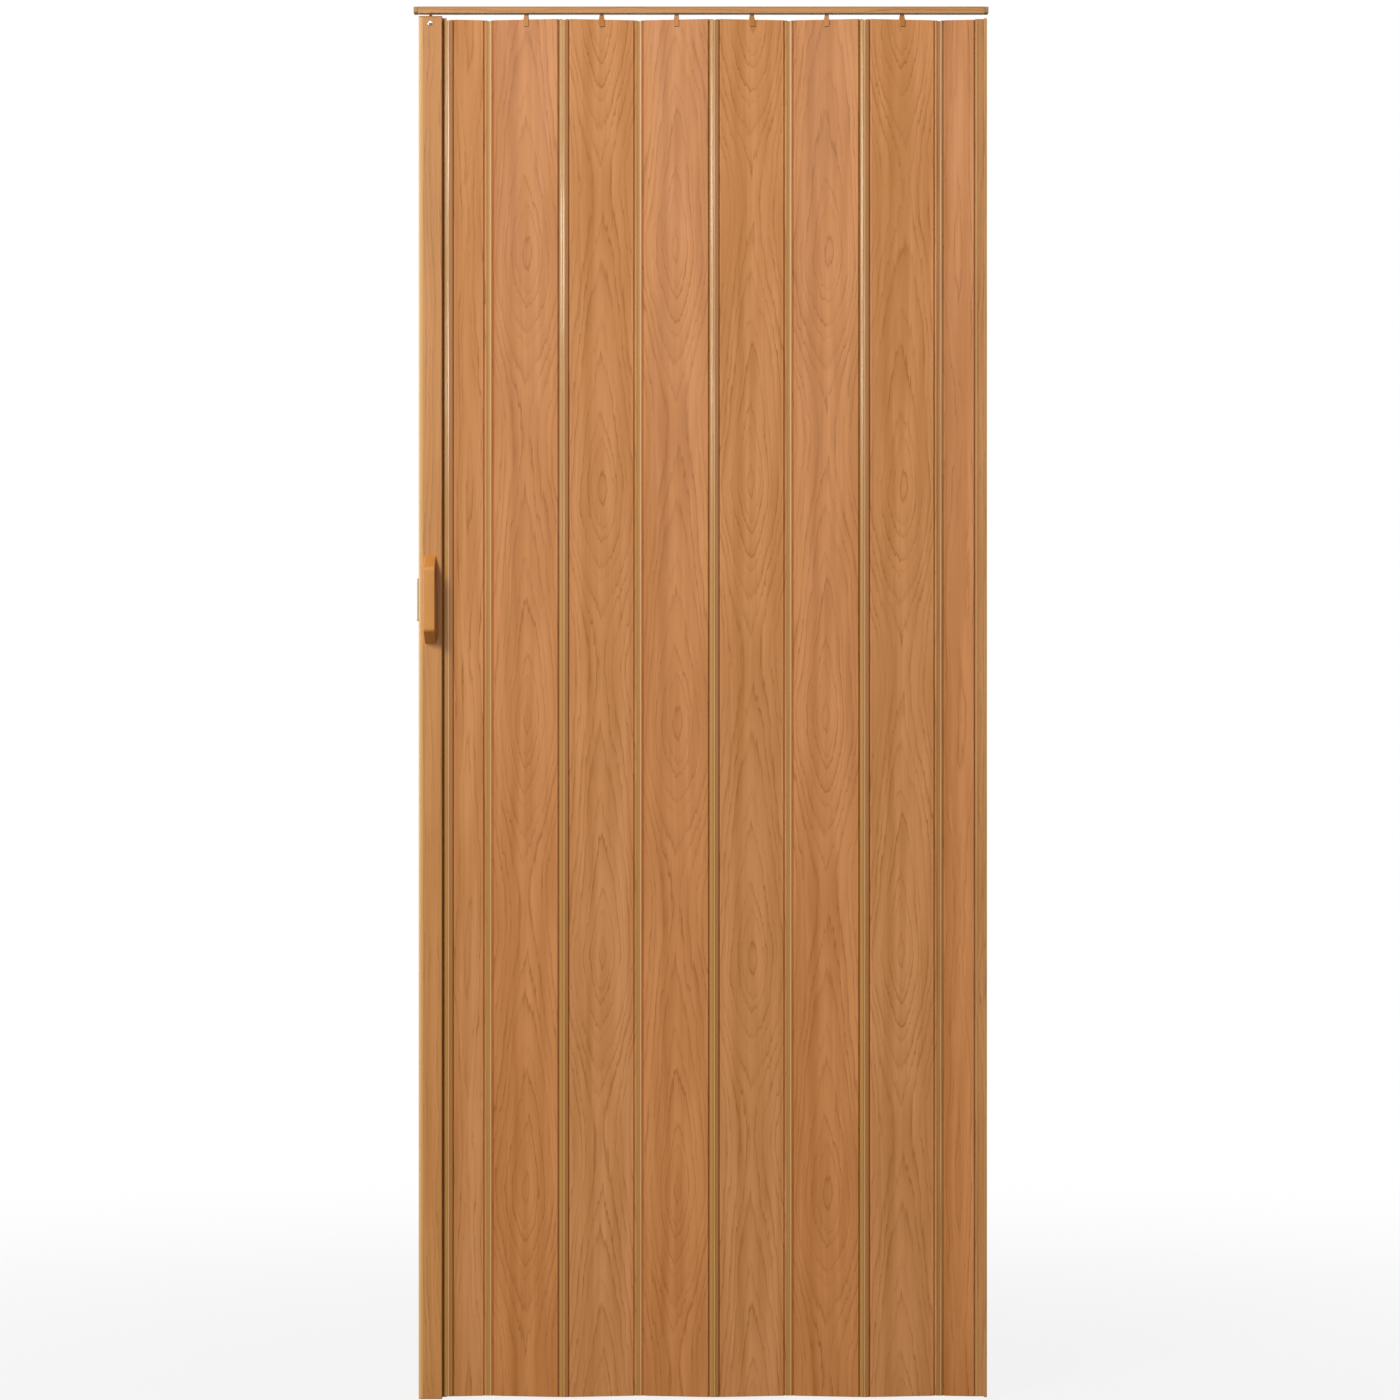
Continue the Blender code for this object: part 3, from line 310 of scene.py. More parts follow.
def wood_rings(tree, place, flame):
    """The place across a plain-sawn board, as its rings sway, and the strength of the rings'
    dark late wood there, from 0 to 1.

    At height z the saw runs d(z) beside the heart of the log, so a point x beside the middle is
    in ring (x ^ p + d ^ p) ^ (1 / p) / spacing, where p = 2 would be a round log and a smaller p
    points the rings' tips. With d as a leaning sine of the height, sin(t - lean * sin(t) ^ 2),
    this gives nested long ovals whose tips lie closer below than above. Flame scales them down
    to the plain straight grain of the narrow profiles. Noise makes the rings sway, waver, fray
    and fade."""
    split = add(tree, "ShaderNodeSeparateXYZ", {0: place})
    sway = blotches(tree, place, 0.10, 0.34, detail=1.0, seed=3.1, least=-0.018, most=0.018)
    waver = blotches(tree, place, 0.016, 0.060, detail=2.0, seed=7.7, least=-0.0042, most=0.0042)
    across = add(tree, "ShaderNodeMath", {0: split.outputs["X"], 1: sway}, operation="ADD")
    across = add(tree, "ShaderNodeMath", {0: across, 1: waver}, operation="ADD")

    turn = add(
        tree, "ShaderNodeMath",
        {0: split.outputs["Z"], 1: math.tau / PRINT_REPEAT}, operation="MULTIPLY",
    )
    lean = add(tree, "ShaderNodeMath", {0: turn}, operation="SINE")
    lean = add(tree, "ShaderNodeMath", {0: lean, 1: 2.0}, operation="POWER")
    lean = add(tree, "ShaderNodeMath", {0: lean, 1: -RING_LEAN}, operation="MULTIPLY")
    wave = add(tree, "ShaderNodeMath", {0: turn, 1: lean}, operation="ADD")
    wave = add(tree, "ShaderNodeMath", {0: wave}, operation="SINE")
    drift = blotches(
        tree, place, 0.60, 0.40, detail=1.0, seed=5.3,
        least=-RING_DRIFT * flame, most=RING_DRIFT * flame,
    )
    depth = add(
        tree, "ShaderNodeMath", {0: wave, 1: RING_DEPTH * flame, 2: drift},
        operation="MULTIPLY_ADD",
    )

    beside = add(tree, "ShaderNodeMath", {0: across}, operation="ABSOLUTE")
    beside = add(tree, "ShaderNodeMath", {0: beside, 1: RING_POWER}, operation="POWER")
    behind = add(tree, "ShaderNodeMath", {0: depth}, operation="ABSOLUTE")
    behind = add(tree, "ShaderNodeMath", {0: behind, 1: RING_POWER}, operation="POWER")
    radius = add(tree, "ShaderNodeMath", {0: beside, 1: behind}, operation="ADD")
    radius = add(tree, "ShaderNodeMath", {0: radius, 1: 1 / RING_POWER}, operation="POWER")
    fray = blotches(tree, place, 0.0028, 0.045, detail=2.0, seed=13.7, least=-0.0024, most=0.0024)
    radius = add(tree, "ShaderNodeMath", {0: radius, 1: fray}, operation="ADD")
    uneven = add(
        tree, "ShaderNodeMath", {0: radius, 1: math.tau / RING_GROUP}, operation="MULTIPLY"
    )
    uneven = add(tree, "ShaderNodeMath", {0: uneven}, operation="SINE")
    radius = add(
        tree, "ShaderNodeMath", {0: uneven, 1: RING_UNEVEN, 2: radius}, operation="MULTIPLY_ADD"
    )
    rings = add(tree, "ShaderNodeMath", {0: radius, 1: 1 / RING_SPACING}, operation="MULTIPLY")

    black = (0.0, 0.0, 0.0, 1)
    dim = (0.30, 0.30, 0.30, 1)
    bright = (1.0, 1.0, 1.0, 1)
    within = add(tree, "ShaderNodeMath", {0: rings}, operation="FRACT")
    late_wood = add(
        tree, "ShaderNodeValToRGB", {0: within},
        stops=[(0.35, black), (1.0, black), (0.76, dim), (0.88, bright)],
    )
    number = add(tree, "ShaderNodeMath", {0: rings}, operation="FLOOR")
    chance = add(tree, "ShaderNodeTexWhiteNoise", {"W": number}, noise_dimensions="1D")
    strong = add(
        tree, "ShaderNodeMapRange", {0: chance, 1: 0.0, 2: 1.0, 3: FAINTEST_RING, 4: 1.0}
    )
    fade = blotches(
        tree, place, 0.028, 0.11, detail=2.0, seed=11.9, least=0.28, most=0.9, start=0.36, end=0.62
    )
    strength = add(tree, "ShaderNodeMath", {0: fade, 1: strong}, operation="MULTIPLY")
    strength = add(tree, "ShaderNodeMath", {0: strength, 1: late_wood}, operation="MULTIPLY")
    return across, strength


def wood_foil(name, middle, shift, flame, tones, along=(0, 0, 0), roughness=0.46):
    """Printed wood foil on PVC, satin under a clear lacquer. It is named for its place, because
    every panel has the print cut at another height. Streaks and a soft band beside the middle
    turn its light tone into its dark one. Rings, fibres and pores are printed over both in the
    tone of its lines, and the rings and fibres are pressed in a little."""
    light, dark, line = [linear(tone) for tone in tones]
    material, tree, shader = new_material(name)
    whole = add(tree, "ShaderNodeTexCoord", {})
    place = add(
        tree, "ShaderNodeMapping",
        {"Vector": whole.outputs["Object"], "Location": (-middle, 0, shift), "Rotation": along},
    )
    across, rings = wood_rings(tree, place, flame)

    from_band = add(tree, "ShaderNodeMath", {0: across, 1: BAND_PLACE}, operation="SUBTRACT")
    from_band = add(
        tree, "ShaderNodeMath", {0: from_band, 1: 1 / BAND_WIDTH}, operation="MULTIPLY"
    )
    band = add(tree, "ShaderNodeMath", {0: from_band, 1: from_band}, operation="MULTIPLY")
    band = add(tree, "ShaderNodeMath", {0: band, 1: -1.0}, operation="MULTIPLY")
    band = add(tree, "ShaderNodeMath", {0: band}, operation="EXPONENT")
    band_fade = blotches(
        tree, place, 0.03, 0.20, detail=1.0, seed=41.3, least=0.72, most=1.0, start=0.35, end=0.65
    )
    band = add(tree, "ShaderNodeMath", {0: band, 1: band_fade}, operation="MULTIPLY")
    streaks = blotches(
        tree, place, 0.018, 0.32, detail=1.5, seed=17.3, least=0.0, most=0.60, start=0.38, end=0.62
    )
    streaks = add(tree, "ShaderNodeMath", {0: streaks, 1: band}, operation="MAXIMUM")
    tone = add(tree, "ShaderNodeMixRGB", {0: streaks, 1: light, 2: dark})
    tone = add(tree, "ShaderNodeMixRGB", {0: rings, 1: tone, 2: line})
    fibre = blotches(
        tree, place, 0.0032, 0.16, detail=2.0, seed=23.9, least=0.0, most=0.18, start=0.35, end=0.75
    )
    tone = add(tree, "ShaderNodeMixRGB", {0: fibre, 1: tone, 2: line})
    pores = blotches(
        tree, place, 0.0012, 0.011, detail=1.0, seed=31.3,
        least=0.0, most=0.17, start=0.66, end=0.80,
    )
    tone = add(tree, "ShaderNodeMixRGB", {0: pores, 1: tone, 2: line})

    pressed = add(tree, "ShaderNodeMath", {0: rings, 1: fibre}, operation="ADD")
    grain = add(
        tree, "ShaderNodeBump", {"Height": pressed, "Distance": 0.00002, "Strength": 0.5},
        invert=True,
    )
    sheen = blotches(
        tree, place, 0.020, 0.15, detail=2.0, seed=37.7,
        least=roughness, most=roughness + SHEEN_SPREAD, start=0.3, end=0.7,
    )
    link(tree, shader, {"Base Color": tone, "Roughness": sheen, "Normal": grain, "IOR": 1.42})
    return material


for number, node in enumerate(PANEL_NAMES):
    low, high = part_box(node)
    cut_at = PRINT_START + PRINT_REPEAT * PRINT_STEP * number
    # Right-facing panels take the paler tones, which are painted sheen.
    tones = LEFT_FACING_TONES if number % 2 else RIGHT_FACING_TONES_WITH_PAINTED_SHEEN
    flame = HALF_PANEL_FLAME if node.startswith("half") else 1.0
    foil = wood_foil(f"beech_foil_on_{node}", (low.x + high.x) / 2, cut_at, flame, tones)
    fit(whole_copy(f"{node}_extrusion", node), node, node, foil)


# Hinge strips. Narrow semi-gloss PVC profiles, eight of them, snapped along the beads of two
# neighbours. Each is two round sockets with a crowned cover between, that waves a little along
# its length as thin extrusions do, so its highlight wanders.
BEAD_RADIUS = 0.0020
SOCKET_GAP = 0.0003
SOCKET_WALL = 0.0008
NECK_HALF = 0.0004
CLOSED_ANGLE = 4.45
FOLDED_ANGLE = 80.0
OUTER_STEPS = 18
INNER_STEPS = 36
WEB_STEPS = 10
WEB_SINK = 0.0005
COVER_POINTS = 59
COVER_CROWN = 0.0004
COVER_WAVE = 0.00008
WAVE_LENGTH = 0.43
WAVE_SHIFT = 1.9
POST_WAVE_SHIFT = 0.6
LINE_PLACES = (0.30, 0.70)
LINE_DEPTH = 0.00022
LINE_HALF = 0.00035
STRIP_ROWS = 72
STRIP_PRINT_SIZE = (0.0012, 0.0012, 0.16)
STRIP_SWELL_SIZE = (0.012, 0.012, 0.10)


def skin(name, rings, across=None):
    """A closed surface through rings of points, all with the same count: the sides run from each
    ring to the next, and the first and the last ring are closed by a flat face. Each point may
    keep a share from 0 to 1, such as its place across the piece, for the material to read. It is
    given for every ring, or once for all."""
    rows, count = rings.shape[:2]
    here = np.arange(count)
    after = (here + 1) % count
    start = np.arange(rows - 1)[:, None] * count
    sides = np.stack(
        [start + here, start + after, start + count + after, start + count + here], -1
    )
    faces = sides.reshape(-1, 4).tolist()
    faces += [here[::-1].tolist(), (here + (rows - 1) * count).tolist()]
    mesh = bpy.data.meshes.new(name)
    mesh.from_pydata(rings.reshape(-1, 3).tolist(), [], faces)
    shape = bmesh.new()
    shape.from_mesh(mesh)
    bmesh.ops.recalc_face_normals(shape, faces=shape.faces)
    shape.to_mesh(mesh)
    shape.free()
    mesh.shade_smooth()
    mesh.set_sharp_from_angle(angle=SMOOTH_BELOW)
    if across is not None:
        kept = mesh.attributes.new("across", "FLOAT", "POINT")
        share = np.broadcast_to(across, (rows, count)).astype(np.float32)
        kept.data.foreach_set("value", share.ravel())
    piece = bpy.data.objects.new(name, mesh)
    bpy.context.scene.collection.objects.link(piece)
    return piece


def round_of(centre_x, radius, start, end, steps):
    """Points along a round about a pivot at Y = 0, from one angle in degrees to another."""
    angle = np.radians(np.linspace(start, end, steps + 1))
    return np.column_stack([centre_x + radius * np.cos(angle), radius * np.sin(angle)])


def strip_section(pitch, cover_side):
    """The strip's closed outline about its two pivots, X = 0 and X = -pitch, and for each point
    its place s from 0 to 1 across the cover, or 0 off it. The cover rises by the crown as
    4 s (1 - s), with two fine V lines pressed into it. It faces the front where cover_side is 1,
    and the back where it is -1."""
    inner = BEAD_RADIUS + SOCKET_GAP
    outer = inner + SOCKET_WALL
    sweep = math.degrees(math.asin((NECK_HALF + SOCKET_GAP) / inner))
    low = CLOSED_ANGLE - sweep
    high = FOLDED_ANGLE + sweep
    web = math.degrees(math.asin(1 - WEB_SINK / outer))
    s = np.linspace(0, 1, COVER_POINTS + 2)[1:-1]
    rise = 4 * COVER_CROWN * s * (1 - s)
    for middle in LINE_PLACES:
        rise -= LINE_DEPTH * np.clip(1 - np.abs(s - middle) * pitch / LINE_HALF, 0, 1)
    cover = np.column_stack([-pitch * s, -outer - rise])
    first = round_of(0, outer, low, -90, OUTER_STEPS)
    rest = [
        round_of(-pitch, outer, 270, 180 - low, OUTER_STEPS),
        round_of(-pitch, inner, 180 - low, 540 - high, INNER_STEPS),
        round_of(-pitch, outer, 180 - high, web, WEB_STEPS),
        round_of(0, outer, 180 - web, high, WEB_STEPS),
        round_of(0, inner, high, 360 + low, INNER_STEPS),
    ]
    outline = np.vstack([first, cover] + rest)
    across = np.zeros(len(outline))
    across[len(first) : len(first) + len(s)] = s
    outline[:, 1] *= cover_side
    return outline, across


def hinge_strip(name, node, right, pitch, cover_side, phase):
    """A strip, drawn from its foot to its top. Its cover waves as sin(2 pi s) times a slow sine
    of the height, which leaves the sockets and the cover's highest line where they are."""
    outline, across = strip_section(pitch, cover_side)
    low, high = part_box(node)
    height = np.linspace(low.z, high.z, STRIP_ROWS)
    rings = np.zeros((STRIP_ROWS, len(outline), 3))
    rings[:, :, 0] = right.x + outline[:, 0]
    wave = np.sin(math.tau * height / WAVE_LENGTH + phase)[:, None]
    wave = wave * np.sin(math.tau * across)[None, :] * COVER_WAVE
    rings[:, :, 1] = right.y + outline[:, 1] + cover_side * wave
    rings[:, :, 2] = height[:, None]
    place_across = (outline[:, 0] - outline[:, 0].min()) / np.ptp(outline[:, 0])
    return skin(name, rings, place_across)


def strip_pvc(name, painted_highlight_line, roughness, print_share=0.30):
    """Co-extruded PVC in bands across the strip: a glossy olive-gold half and a browner half,
    partly its own two tones and partly painted shade on the side turned from the light; a pale
    line where they meet, which is a painted highlight; and dark ends, painted shade in the gaps
    beside the panels. A fine lengthwise print lies over them. Its surface waves over some
    centimetres, so the highlight wanders along the strip."""
    material, tree, shader = new_material(name)
    across = add(tree, "ShaderNodeAttribute", {}, attribute_name="across")
    # The dark ends are painted shade of the gaps, the pale line a painted highlight, and the
    # browner half partly painted shade.
    bands_and_painted_light = add(
        tree, "ShaderNodeValToRGB", {0: across.outputs["Fac"]},
        stops=[
            (0.02, linear("#8E5C26")), (0.96, linear("#96602C")), (0.10, linear("#C4924E")),
            (painted_highlight_line - 0.12, linear("#B98844")), (painted_highlight_line - 0.05, linear("#9C6E30")),
            (painted_highlight_line - 0.02, linear("#DDB078")), (painted_highlight_line + 0.04, linear("#D8A468")),
            (painted_highlight_line + 0.09, linear("#AE7438")), (0.86, linear("#B47A42")),
        ],
    )
    place = add(tree, "ShaderNodeTexCoord", {})
    fine = add(
        tree, "ShaderNodeVectorMath",
        {0: place.outputs["Object"], 1: [1 / size for size in STRIP_PRINT_SIZE]},
        operation="MULTIPLY",
    )
    print_lines = add(tree, "ShaderNodeTexNoise", {"Vector": fine, "Scale": 1.0, "Detail": 3.0})
    lines = add(
        tree, "ShaderNodeMapRange",
        {0: print_lines, 1: 0.40, 2: 0.75, 3: print_share / 3, 4: print_share},
    )
    tone = add(tree, "ShaderNodeMixRGB", {0: lines, 1: bands_and_painted_light, 2: linear("#8A5420")})
    slow = add(
        tree, "ShaderNodeVectorMath",
        {0: place.outputs["Object"], 1: [1 / size for size in STRIP_SWELL_SIZE]},
        operation="MULTIPLY",
    )
    swell = add(tree, "ShaderNodeTexNoise", {"Vector": slow, "Scale": 1.0, "Detail": 1.0})
    bump = add(
        tree, "ShaderNodeBump", {"Height": swell, "Distance": 0.0007, "Strength": 0.5}
    )
    link(tree, shader, {"Base Color": tone, "Roughness": roughness, "Normal": bump, "IOR": 1.5})
    return material


# Odd strips show their sockets to the front and even ones their cover, as the folds alternate.
# The post's strip shows its cover, and is as wide as the others.
pivot = {joint["child"]: Vector(joint["pos_m"]) for joint in frame["joints"]}
cover_pvc = strip_pvc("glossy_pvc_strip_cover_side", 0.50, 0.19)
socket_pvc = strip_pvc("semi_gloss_pvc_strip_socket_side", 0.62, 0.34)
# The strip beside the wall profile is darker all over, as far more of the dark print tone is mixed
# into it.
wall_pvc = strip_pvc("semi_gloss_pvc_strip_wall_side", 0.62, 0.40, print_share=0.85)
for number, finish in enumerate([socket_pvc, cover_pvc] * 3 + [wall_pvc], start=1):
    node = f"hinge_strip_{number}"
    right = pivot[node]
    pitch = right.x - pivot[PANEL_NAMES[number - 1]].x
    side = -1 if number % 2 else 1
    strip = hinge_strip(f"strip_{number}_profile", node, right, pitch, side, WAVE_SHIFT * number)
    fit(strip, node, node, finish)
pitch = pivot["hinge_strip_7"].x - pivot["panel_6"].x
strip = hinge_strip(
    "post_strip_profile", "post_hinge_strip", pivot["lead_post"], pitch, 1, POST_WAVE_SHIFT
)
fit(strip, "lead_post", "post_hinge_strip", cover_pvc)


# Track, wall profile and lead post. Straight PVC extrusions under the same foil, with its plain
# straight grain. The track is a C channel screwed to the lintel, the wall profile holds the last
# bead, and the post is a hollow box with a soft nose that carries the handles and the catch.
JAMB_HEART_ASIDE = 0.05
JAMB_PRINT_START = 0.31
POST_HEART_ASIDE = 0.06
POST_PRINT_START = 0.12
PAINTED_NOSE_HIGHLIGHT_WIDTH = 0.0062
EDGE_BLUR = 0.0006


def paint_light_and_shade_at_edge(material, axis, start, end, most, tone):
    """Paints a tone into a foil towards one edge: painted shade where the tone is darker,
    painted light where it is paler. The tone takes over, up to its most, as the place along the
    axis goes from start to end."""
    tree = material.node_tree
    shader = next(n for n in tree.nodes if n.type == "BSDF_PRINCIPLED")
    foil_tone = shader.inputs["Base Color"].links[0].from_socket
    place = add(tree, "ShaderNodeTexCoord", {})
    split = add(tree, "ShaderNodeSeparateXYZ", {0: place.outputs["Object"]})
    edge = add(
        tree, "ShaderNodeMapRange", {0: split.outputs[axis], 1: start, 2: end, 3: 0.0, 4: most}
    )
    mixed = add(tree, "ShaderNodeMixRGB", {0: edge, 1: foil_tone, 2: linear(tone)})
    link(tree, shader, {"Base Color": mixed})


# The track's foil is painted darker along its top edge: painted shade under the lintel. Its lower
# edge and the lips below are painted paler: painted light on an underside that lies in shade.
track_foil = wood_foil(
    "straight_beech_foil_on_track", middle=0.0, shift=0.0, flame=0.0,
    tones=("#CA8C4E", "#BA7E3E", "#905A26"), along=(0, math.radians(90), 0),
)
paint_light_and_shade_at_edge(track_foil, "Z", start=-0.0024, end=-0.0008, most=0.7, tone="#94662E")
paint_light_and_shade_at_edge(track_foil, "Z", start=-0.0078, end=-0.0086, most=0.9, tone="#F6DCB4")
fit(whole_copy("track_channel", "track"), "frame", "track", track_foil)

# The hearts of these two boards lie beside the profiles, so their grain runs straight.
jamb_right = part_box("wall_jamb")[1].x
jamb_foil = wood_foil(
    "straight_beech_foil_on_jamb", jamb_right - JAMB_HEART_ASIDE, JAMB_PRINT_START, flame=0.0,
    tones=("#C08C54", "#B27C42", "#8A5A26"),
)
fit(whole_copy("jamb_profile", "wall_jamb"), "frame", "wall_jamb", jamb_foil)

post_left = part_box("lead_post")[0].x
post_foil = wood_foil(
    "straight_beech_foil_on_post", post_left + POST_HEART_ASIDE, POST_PRINT_START, flame=0.0,
    tones=("#C88A4C", "#B87A3A", "#925C28"), roughness=0.42,
)
# The nose is painted paler: a painted highlight along the rounded edge that faces the light.
nose_edge = post_left + PAINTED_NOSE_HIGHLIGHT_WIDTH
paint_light_and_shade_at_edge(post_foil, "X", start=nose_edge + EDGE_BLUR, end=nose_edge, most=0.9, tone="#CC9E62")
post = whole_copy("post_extrusion", "lead_post")
fit(post, "lead_post", "lead_post", post_foil)


# Moulded pieces. The track's end caps, the post's runner and foot cap, and the six hangers are
# injection-moulded ABS in the colour of the foil, with small rounds on every edge.
MOULDED_ROUND = 0.0003
FLOW_SIZE = 0.020
SPARK_GRAIN_SIZE = 0.0006


def moulded_abs(name, light, dark, roughness=0.42):
    """Injection-moulded ABS with a fine spark-eroded grain, a little cloudy where it flowed."""
    material, tree, shader = new_material(name)
    place = add(tree, "ShaderNodeTexCoord", {})
    flow = add(
        tree, "ShaderNodeTexNoise",
        {
            "Vector": place.outputs["Object"], "Scale": 1 / FLOW_SIZE,
            "Detail": 2.0, "Distortion": 0.8,
        },
    )
    tone = add(tree, "ShaderNodeMixRGB", {0: flow, 1: linear(light), 2: linear(dark)})
    grain = add(
        tree, "ShaderNodeTexNoise",
        {"Vector": place.outputs["Object"], "Scale": 1 / SPARK_GRAIN_SIZE, "Detail": 2.0},
    )
    bump = add(
        tree, "ShaderNodeBump", {"Height": grain, "Distance": 0.00002, "Strength": 0.5}
    )
    link(tree, shader, {"Base Color": tone, "Roughness": roughness, "Normal": bump, "IOR": 1.48})
    return material


cap_abs = moulded_abs("moulded_abs_cap", "#AA7E48", "#9E7240")
hanger_abs = moulded_abs("moulded_abs_hanger", "#BA7A38", "#AC6E2E", roughness=0.56)
for node in ("track_cap_left", "track_cap_right"):
    piece = whole_copy(f"{node}_moulding", node, MOULDED_ROUND)
    fit(piece, "frame", node, cap_abs)
for node in ("post_runner", "post_foot_cap"):
    piece = whole_copy(f"{node}_moulding", node, MOULDED_ROUND)
    fit(piece, "lead_post", node, hanger_abs)
for number in range(1, 7):
    node = f"hanger_{number}"
    piece = whole_copy(f"{node}_moulding", node, MOULDED_ROUND)
    fit(piece, f"panel_{number}", node, hanger_abs)


# Handles. A moulded bow on each face of the post: a flat grip on two sloping legs, with softly
# rounded edges. Two long screws join them through the post, with their heads in the back one.
GRIP_LENGTH = 0.0932
GRIP_THICKNESS = 0.0065
LEG_FOOT = 0.0140
LEG_SHOULDER = 0.0060
HANDLE_EDGE = 0.0013
OUTER_ROUND = 0.0040
INNER_ROUND = 0.0060
STRAIGHT_STEPS = 14
ROUND_STEPS = 8
CORNER_STEPS = 5
SCREW_INSET = 0.0090
SCREW_HOLE = 0.0022
HEAD_HOLE = 0.0037
HEAD_SEAT = 0.0040
PILOT_DEPTH = 0.0088
HOLE_SEGMENTS = 32


def rounded_path(points, radius):
    """A path through points with its inner corners rounded: each corner P is replaced by the
    quadratic curve (1-t)^2 A + 2t(1-t) P + t^2 B, where A and B lie a radius before and after."""
    points = [np.array(p, float) for p in points]
    pieces = []
    start = points[0]
    for before, corner, after in zip(points, points[1:], points[2:]):
        a = corner + (before - corner) / np.linalg.norm(before - corner) * radius
        b = corner + (after - corner) / np.linalg.norm(after - corner) * radius
        t = np.linspace(0, 1, STRAIGHT_STEPS, endpoint=False)[:, None]
        pieces.append(start + (a - start) * t)
        t = np.linspace(0, 1, ROUND_STEPS, endpoint=False)[:, None]
        pieces.append((1 - t) ** 2 * a + 2 * t * (1 - t) * corner + t**2 * b)
        start = b
    t = np.linspace(0, 1, STRAIGHT_STEPS + 1)[:, None]
    pieces.append(start + (points[-1] - start) * t)
    return np.vstack(pieces)


def rounded_corners():
    """The corners of a rounded rectangle, turning left from the upper right: for each point the
    corner that it belongs to, as signs, and its direction from that corner's centre."""
    turn = np.radians(np.linspace(0, 90, CORNER_STEPS + 1))
    signs = np.repeat([(1, 1), (-1, 1), (-1, -1), (1, -1)], CORNER_STEPS + 1, axis=0)
    angle = np.concatenate([turn + quarter * math.pi / 2 for quarter in range(4)])
    return signs, np.column_stack([np.cos(angle), np.sin(angle)])


def bow_handle(name, node, side):
    """A bow between an outer and an inner path, in stand-off from the post and height. At each
    station the section is a rounded rectangle, from the inner path to the outer one and across
    the handle's whole width. Side is -1 for the front one and 1 for the back one."""
    low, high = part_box(node)
    width = high.x - low.x
    middle = (low + high) / 2
    stand = high.y - low.y
    foot = (high.z - low.z) / 2
    grip = GRIP_LENGTH / 2
    lift = stand - GRIP_THICKNESS
    inner_foot = foot - LEG_FOOT
    inner_grip = grip - LEG_SHOULDER
    outer = rounded_path([(0, -foot), (stand, -grip), (stand, grip), (0, foot)], OUTER_ROUND)
    inner = rounded_path(
        [(0, -inner_foot), (lift, -inner_grip), (lift, inner_grip), (0, inner_foot)], INNER_ROUND
    )
    signs, directions = rounded_corners()
    half_span = np.linalg.norm(outer - inner, axis=1)[:, None] / 2
    reach = half_span - HANDLE_EDGE
    across = (width / 2 - HANDLE_EDGE) * signs[:, 0] + HANDLE_EDGE * directions[:, 0]
    through = reach * signs[None, :, 1] + HANDLE_EDGE * directions[None, :, 1]
    share = 0.5 + through / (2 * half_span)
    station = inner[:, None, :] + (outer - inner)[:, None, :] * share[:, :, None]
    rings = np.zeros((*share.shape, 3))
    rings[:, :, 0] = middle.x + across[None, :]
    face = high.y if side < 0 else low.y
    rings[:, :, 1] = face + side * station[:, :, 0]
    rings[:, :, 2] = middle.z + station[:, :, 1]
    return skin(name, rings)


def drill(piece, holes):
    """Cuts round holes along Y: each is a radius, a middle and a length."""
    for number, (radius, middle, length) in enumerate(holes):
        shape = bmesh.new()
        bmesh.ops.create_cone(
            shape, cap_ends=True, segments=HOLE_SEGMENTS, radius1=radius, radius2=radius,
            depth=length,
        )
        turn = Matrix.Translation(middle) @ Matrix.Rotation(math.radians(90), 4, "X")
        bmesh.ops.transform(shape, matrix=turn, verts=shape.verts)
        mesh = bpy.data.meshes.new(f"drill_{number}")
        shape.to_mesh(mesh)
        shape.free()
        tool = bpy.data.objects.new(f"drill_{number}", mesh)
        bpy.context.scene.collection.objects.link(tool)
        step = piece.modifiers.new(f"hole_{number}", "BOOLEAN")
        step.operation = "DIFFERENCE"
        step.object = tool
        bpy.context.view_layer.update()
        result = piece.evaluated_get(bpy.context.evaluated_depsgraph_get())
        cut = bpy.data.meshes.new_from_object(result)
        piece.modifiers.clear()
        piece.data = cut
        bpy.data.objects.remove(tool, do_unlink=True)
    piece.data.shade_smooth()
    piece.data.set_sharp_from_angle(angle=SMOOTH_BELOW)


handle_abs = moulded_abs("moulded_abs_handle", "#CC8A3E", "#C07C30", roughness=0.50)
for label, side in (("front", -1), ("back", 1)):
    node = f"handle_{label}"
    low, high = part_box(node)
    face = high.y if side < 0 else low.y
    stand = high.y - low.y
    middle = (low + high) / 2
    reach = (high.z - low.z) / 2 - SCREW_INSET
    holes = []
    for z in (middle.z + reach, middle.z - reach):
        if side < 0:
            holes.append((SCREW_HOLE, Vector((middle.x, face, z)), 2 * PILOT_DEPTH))
        else:
            holes.append((SCREW_HOLE, Vector((middle.x, face, z)), 2 * stand))
            holes.append((HEAD_HOLE, Vector((middle.x, face + HEAD_SEAT + stand / 2, z)), stand))
    handle = bow_handle(f"{label}_bow_handle", node, side)
    drill(handle, holes)
    fit(handle, "lead_post", node, handle_abs)


# Screws. One bright chromed pan-head screw holds the runner in the post's top, two long zinc
# ones join the handles, and two small countersunk ones hold the catch. All have a cross recess.
SCREW_STEPS = 72
CROWN_RINGS = 40
CROWN_START = 0.02
RECESS_REACH = 0.42
RECESS_DEPTH = 0.24
SLOT_HALF = 0.16
SLOT_SOFT = 0.10
SLOT_TAPER = 0.45
THREAD_ROWS = 90
THREAD_PITCH = 0.0013
THREAD_DEPTH = 0.0003
POINT_LENGTH = 1.2
POINT_TIP = 0.08
POINT_ROWS = 8
PLATE_MARK_SIZE = 0.0005


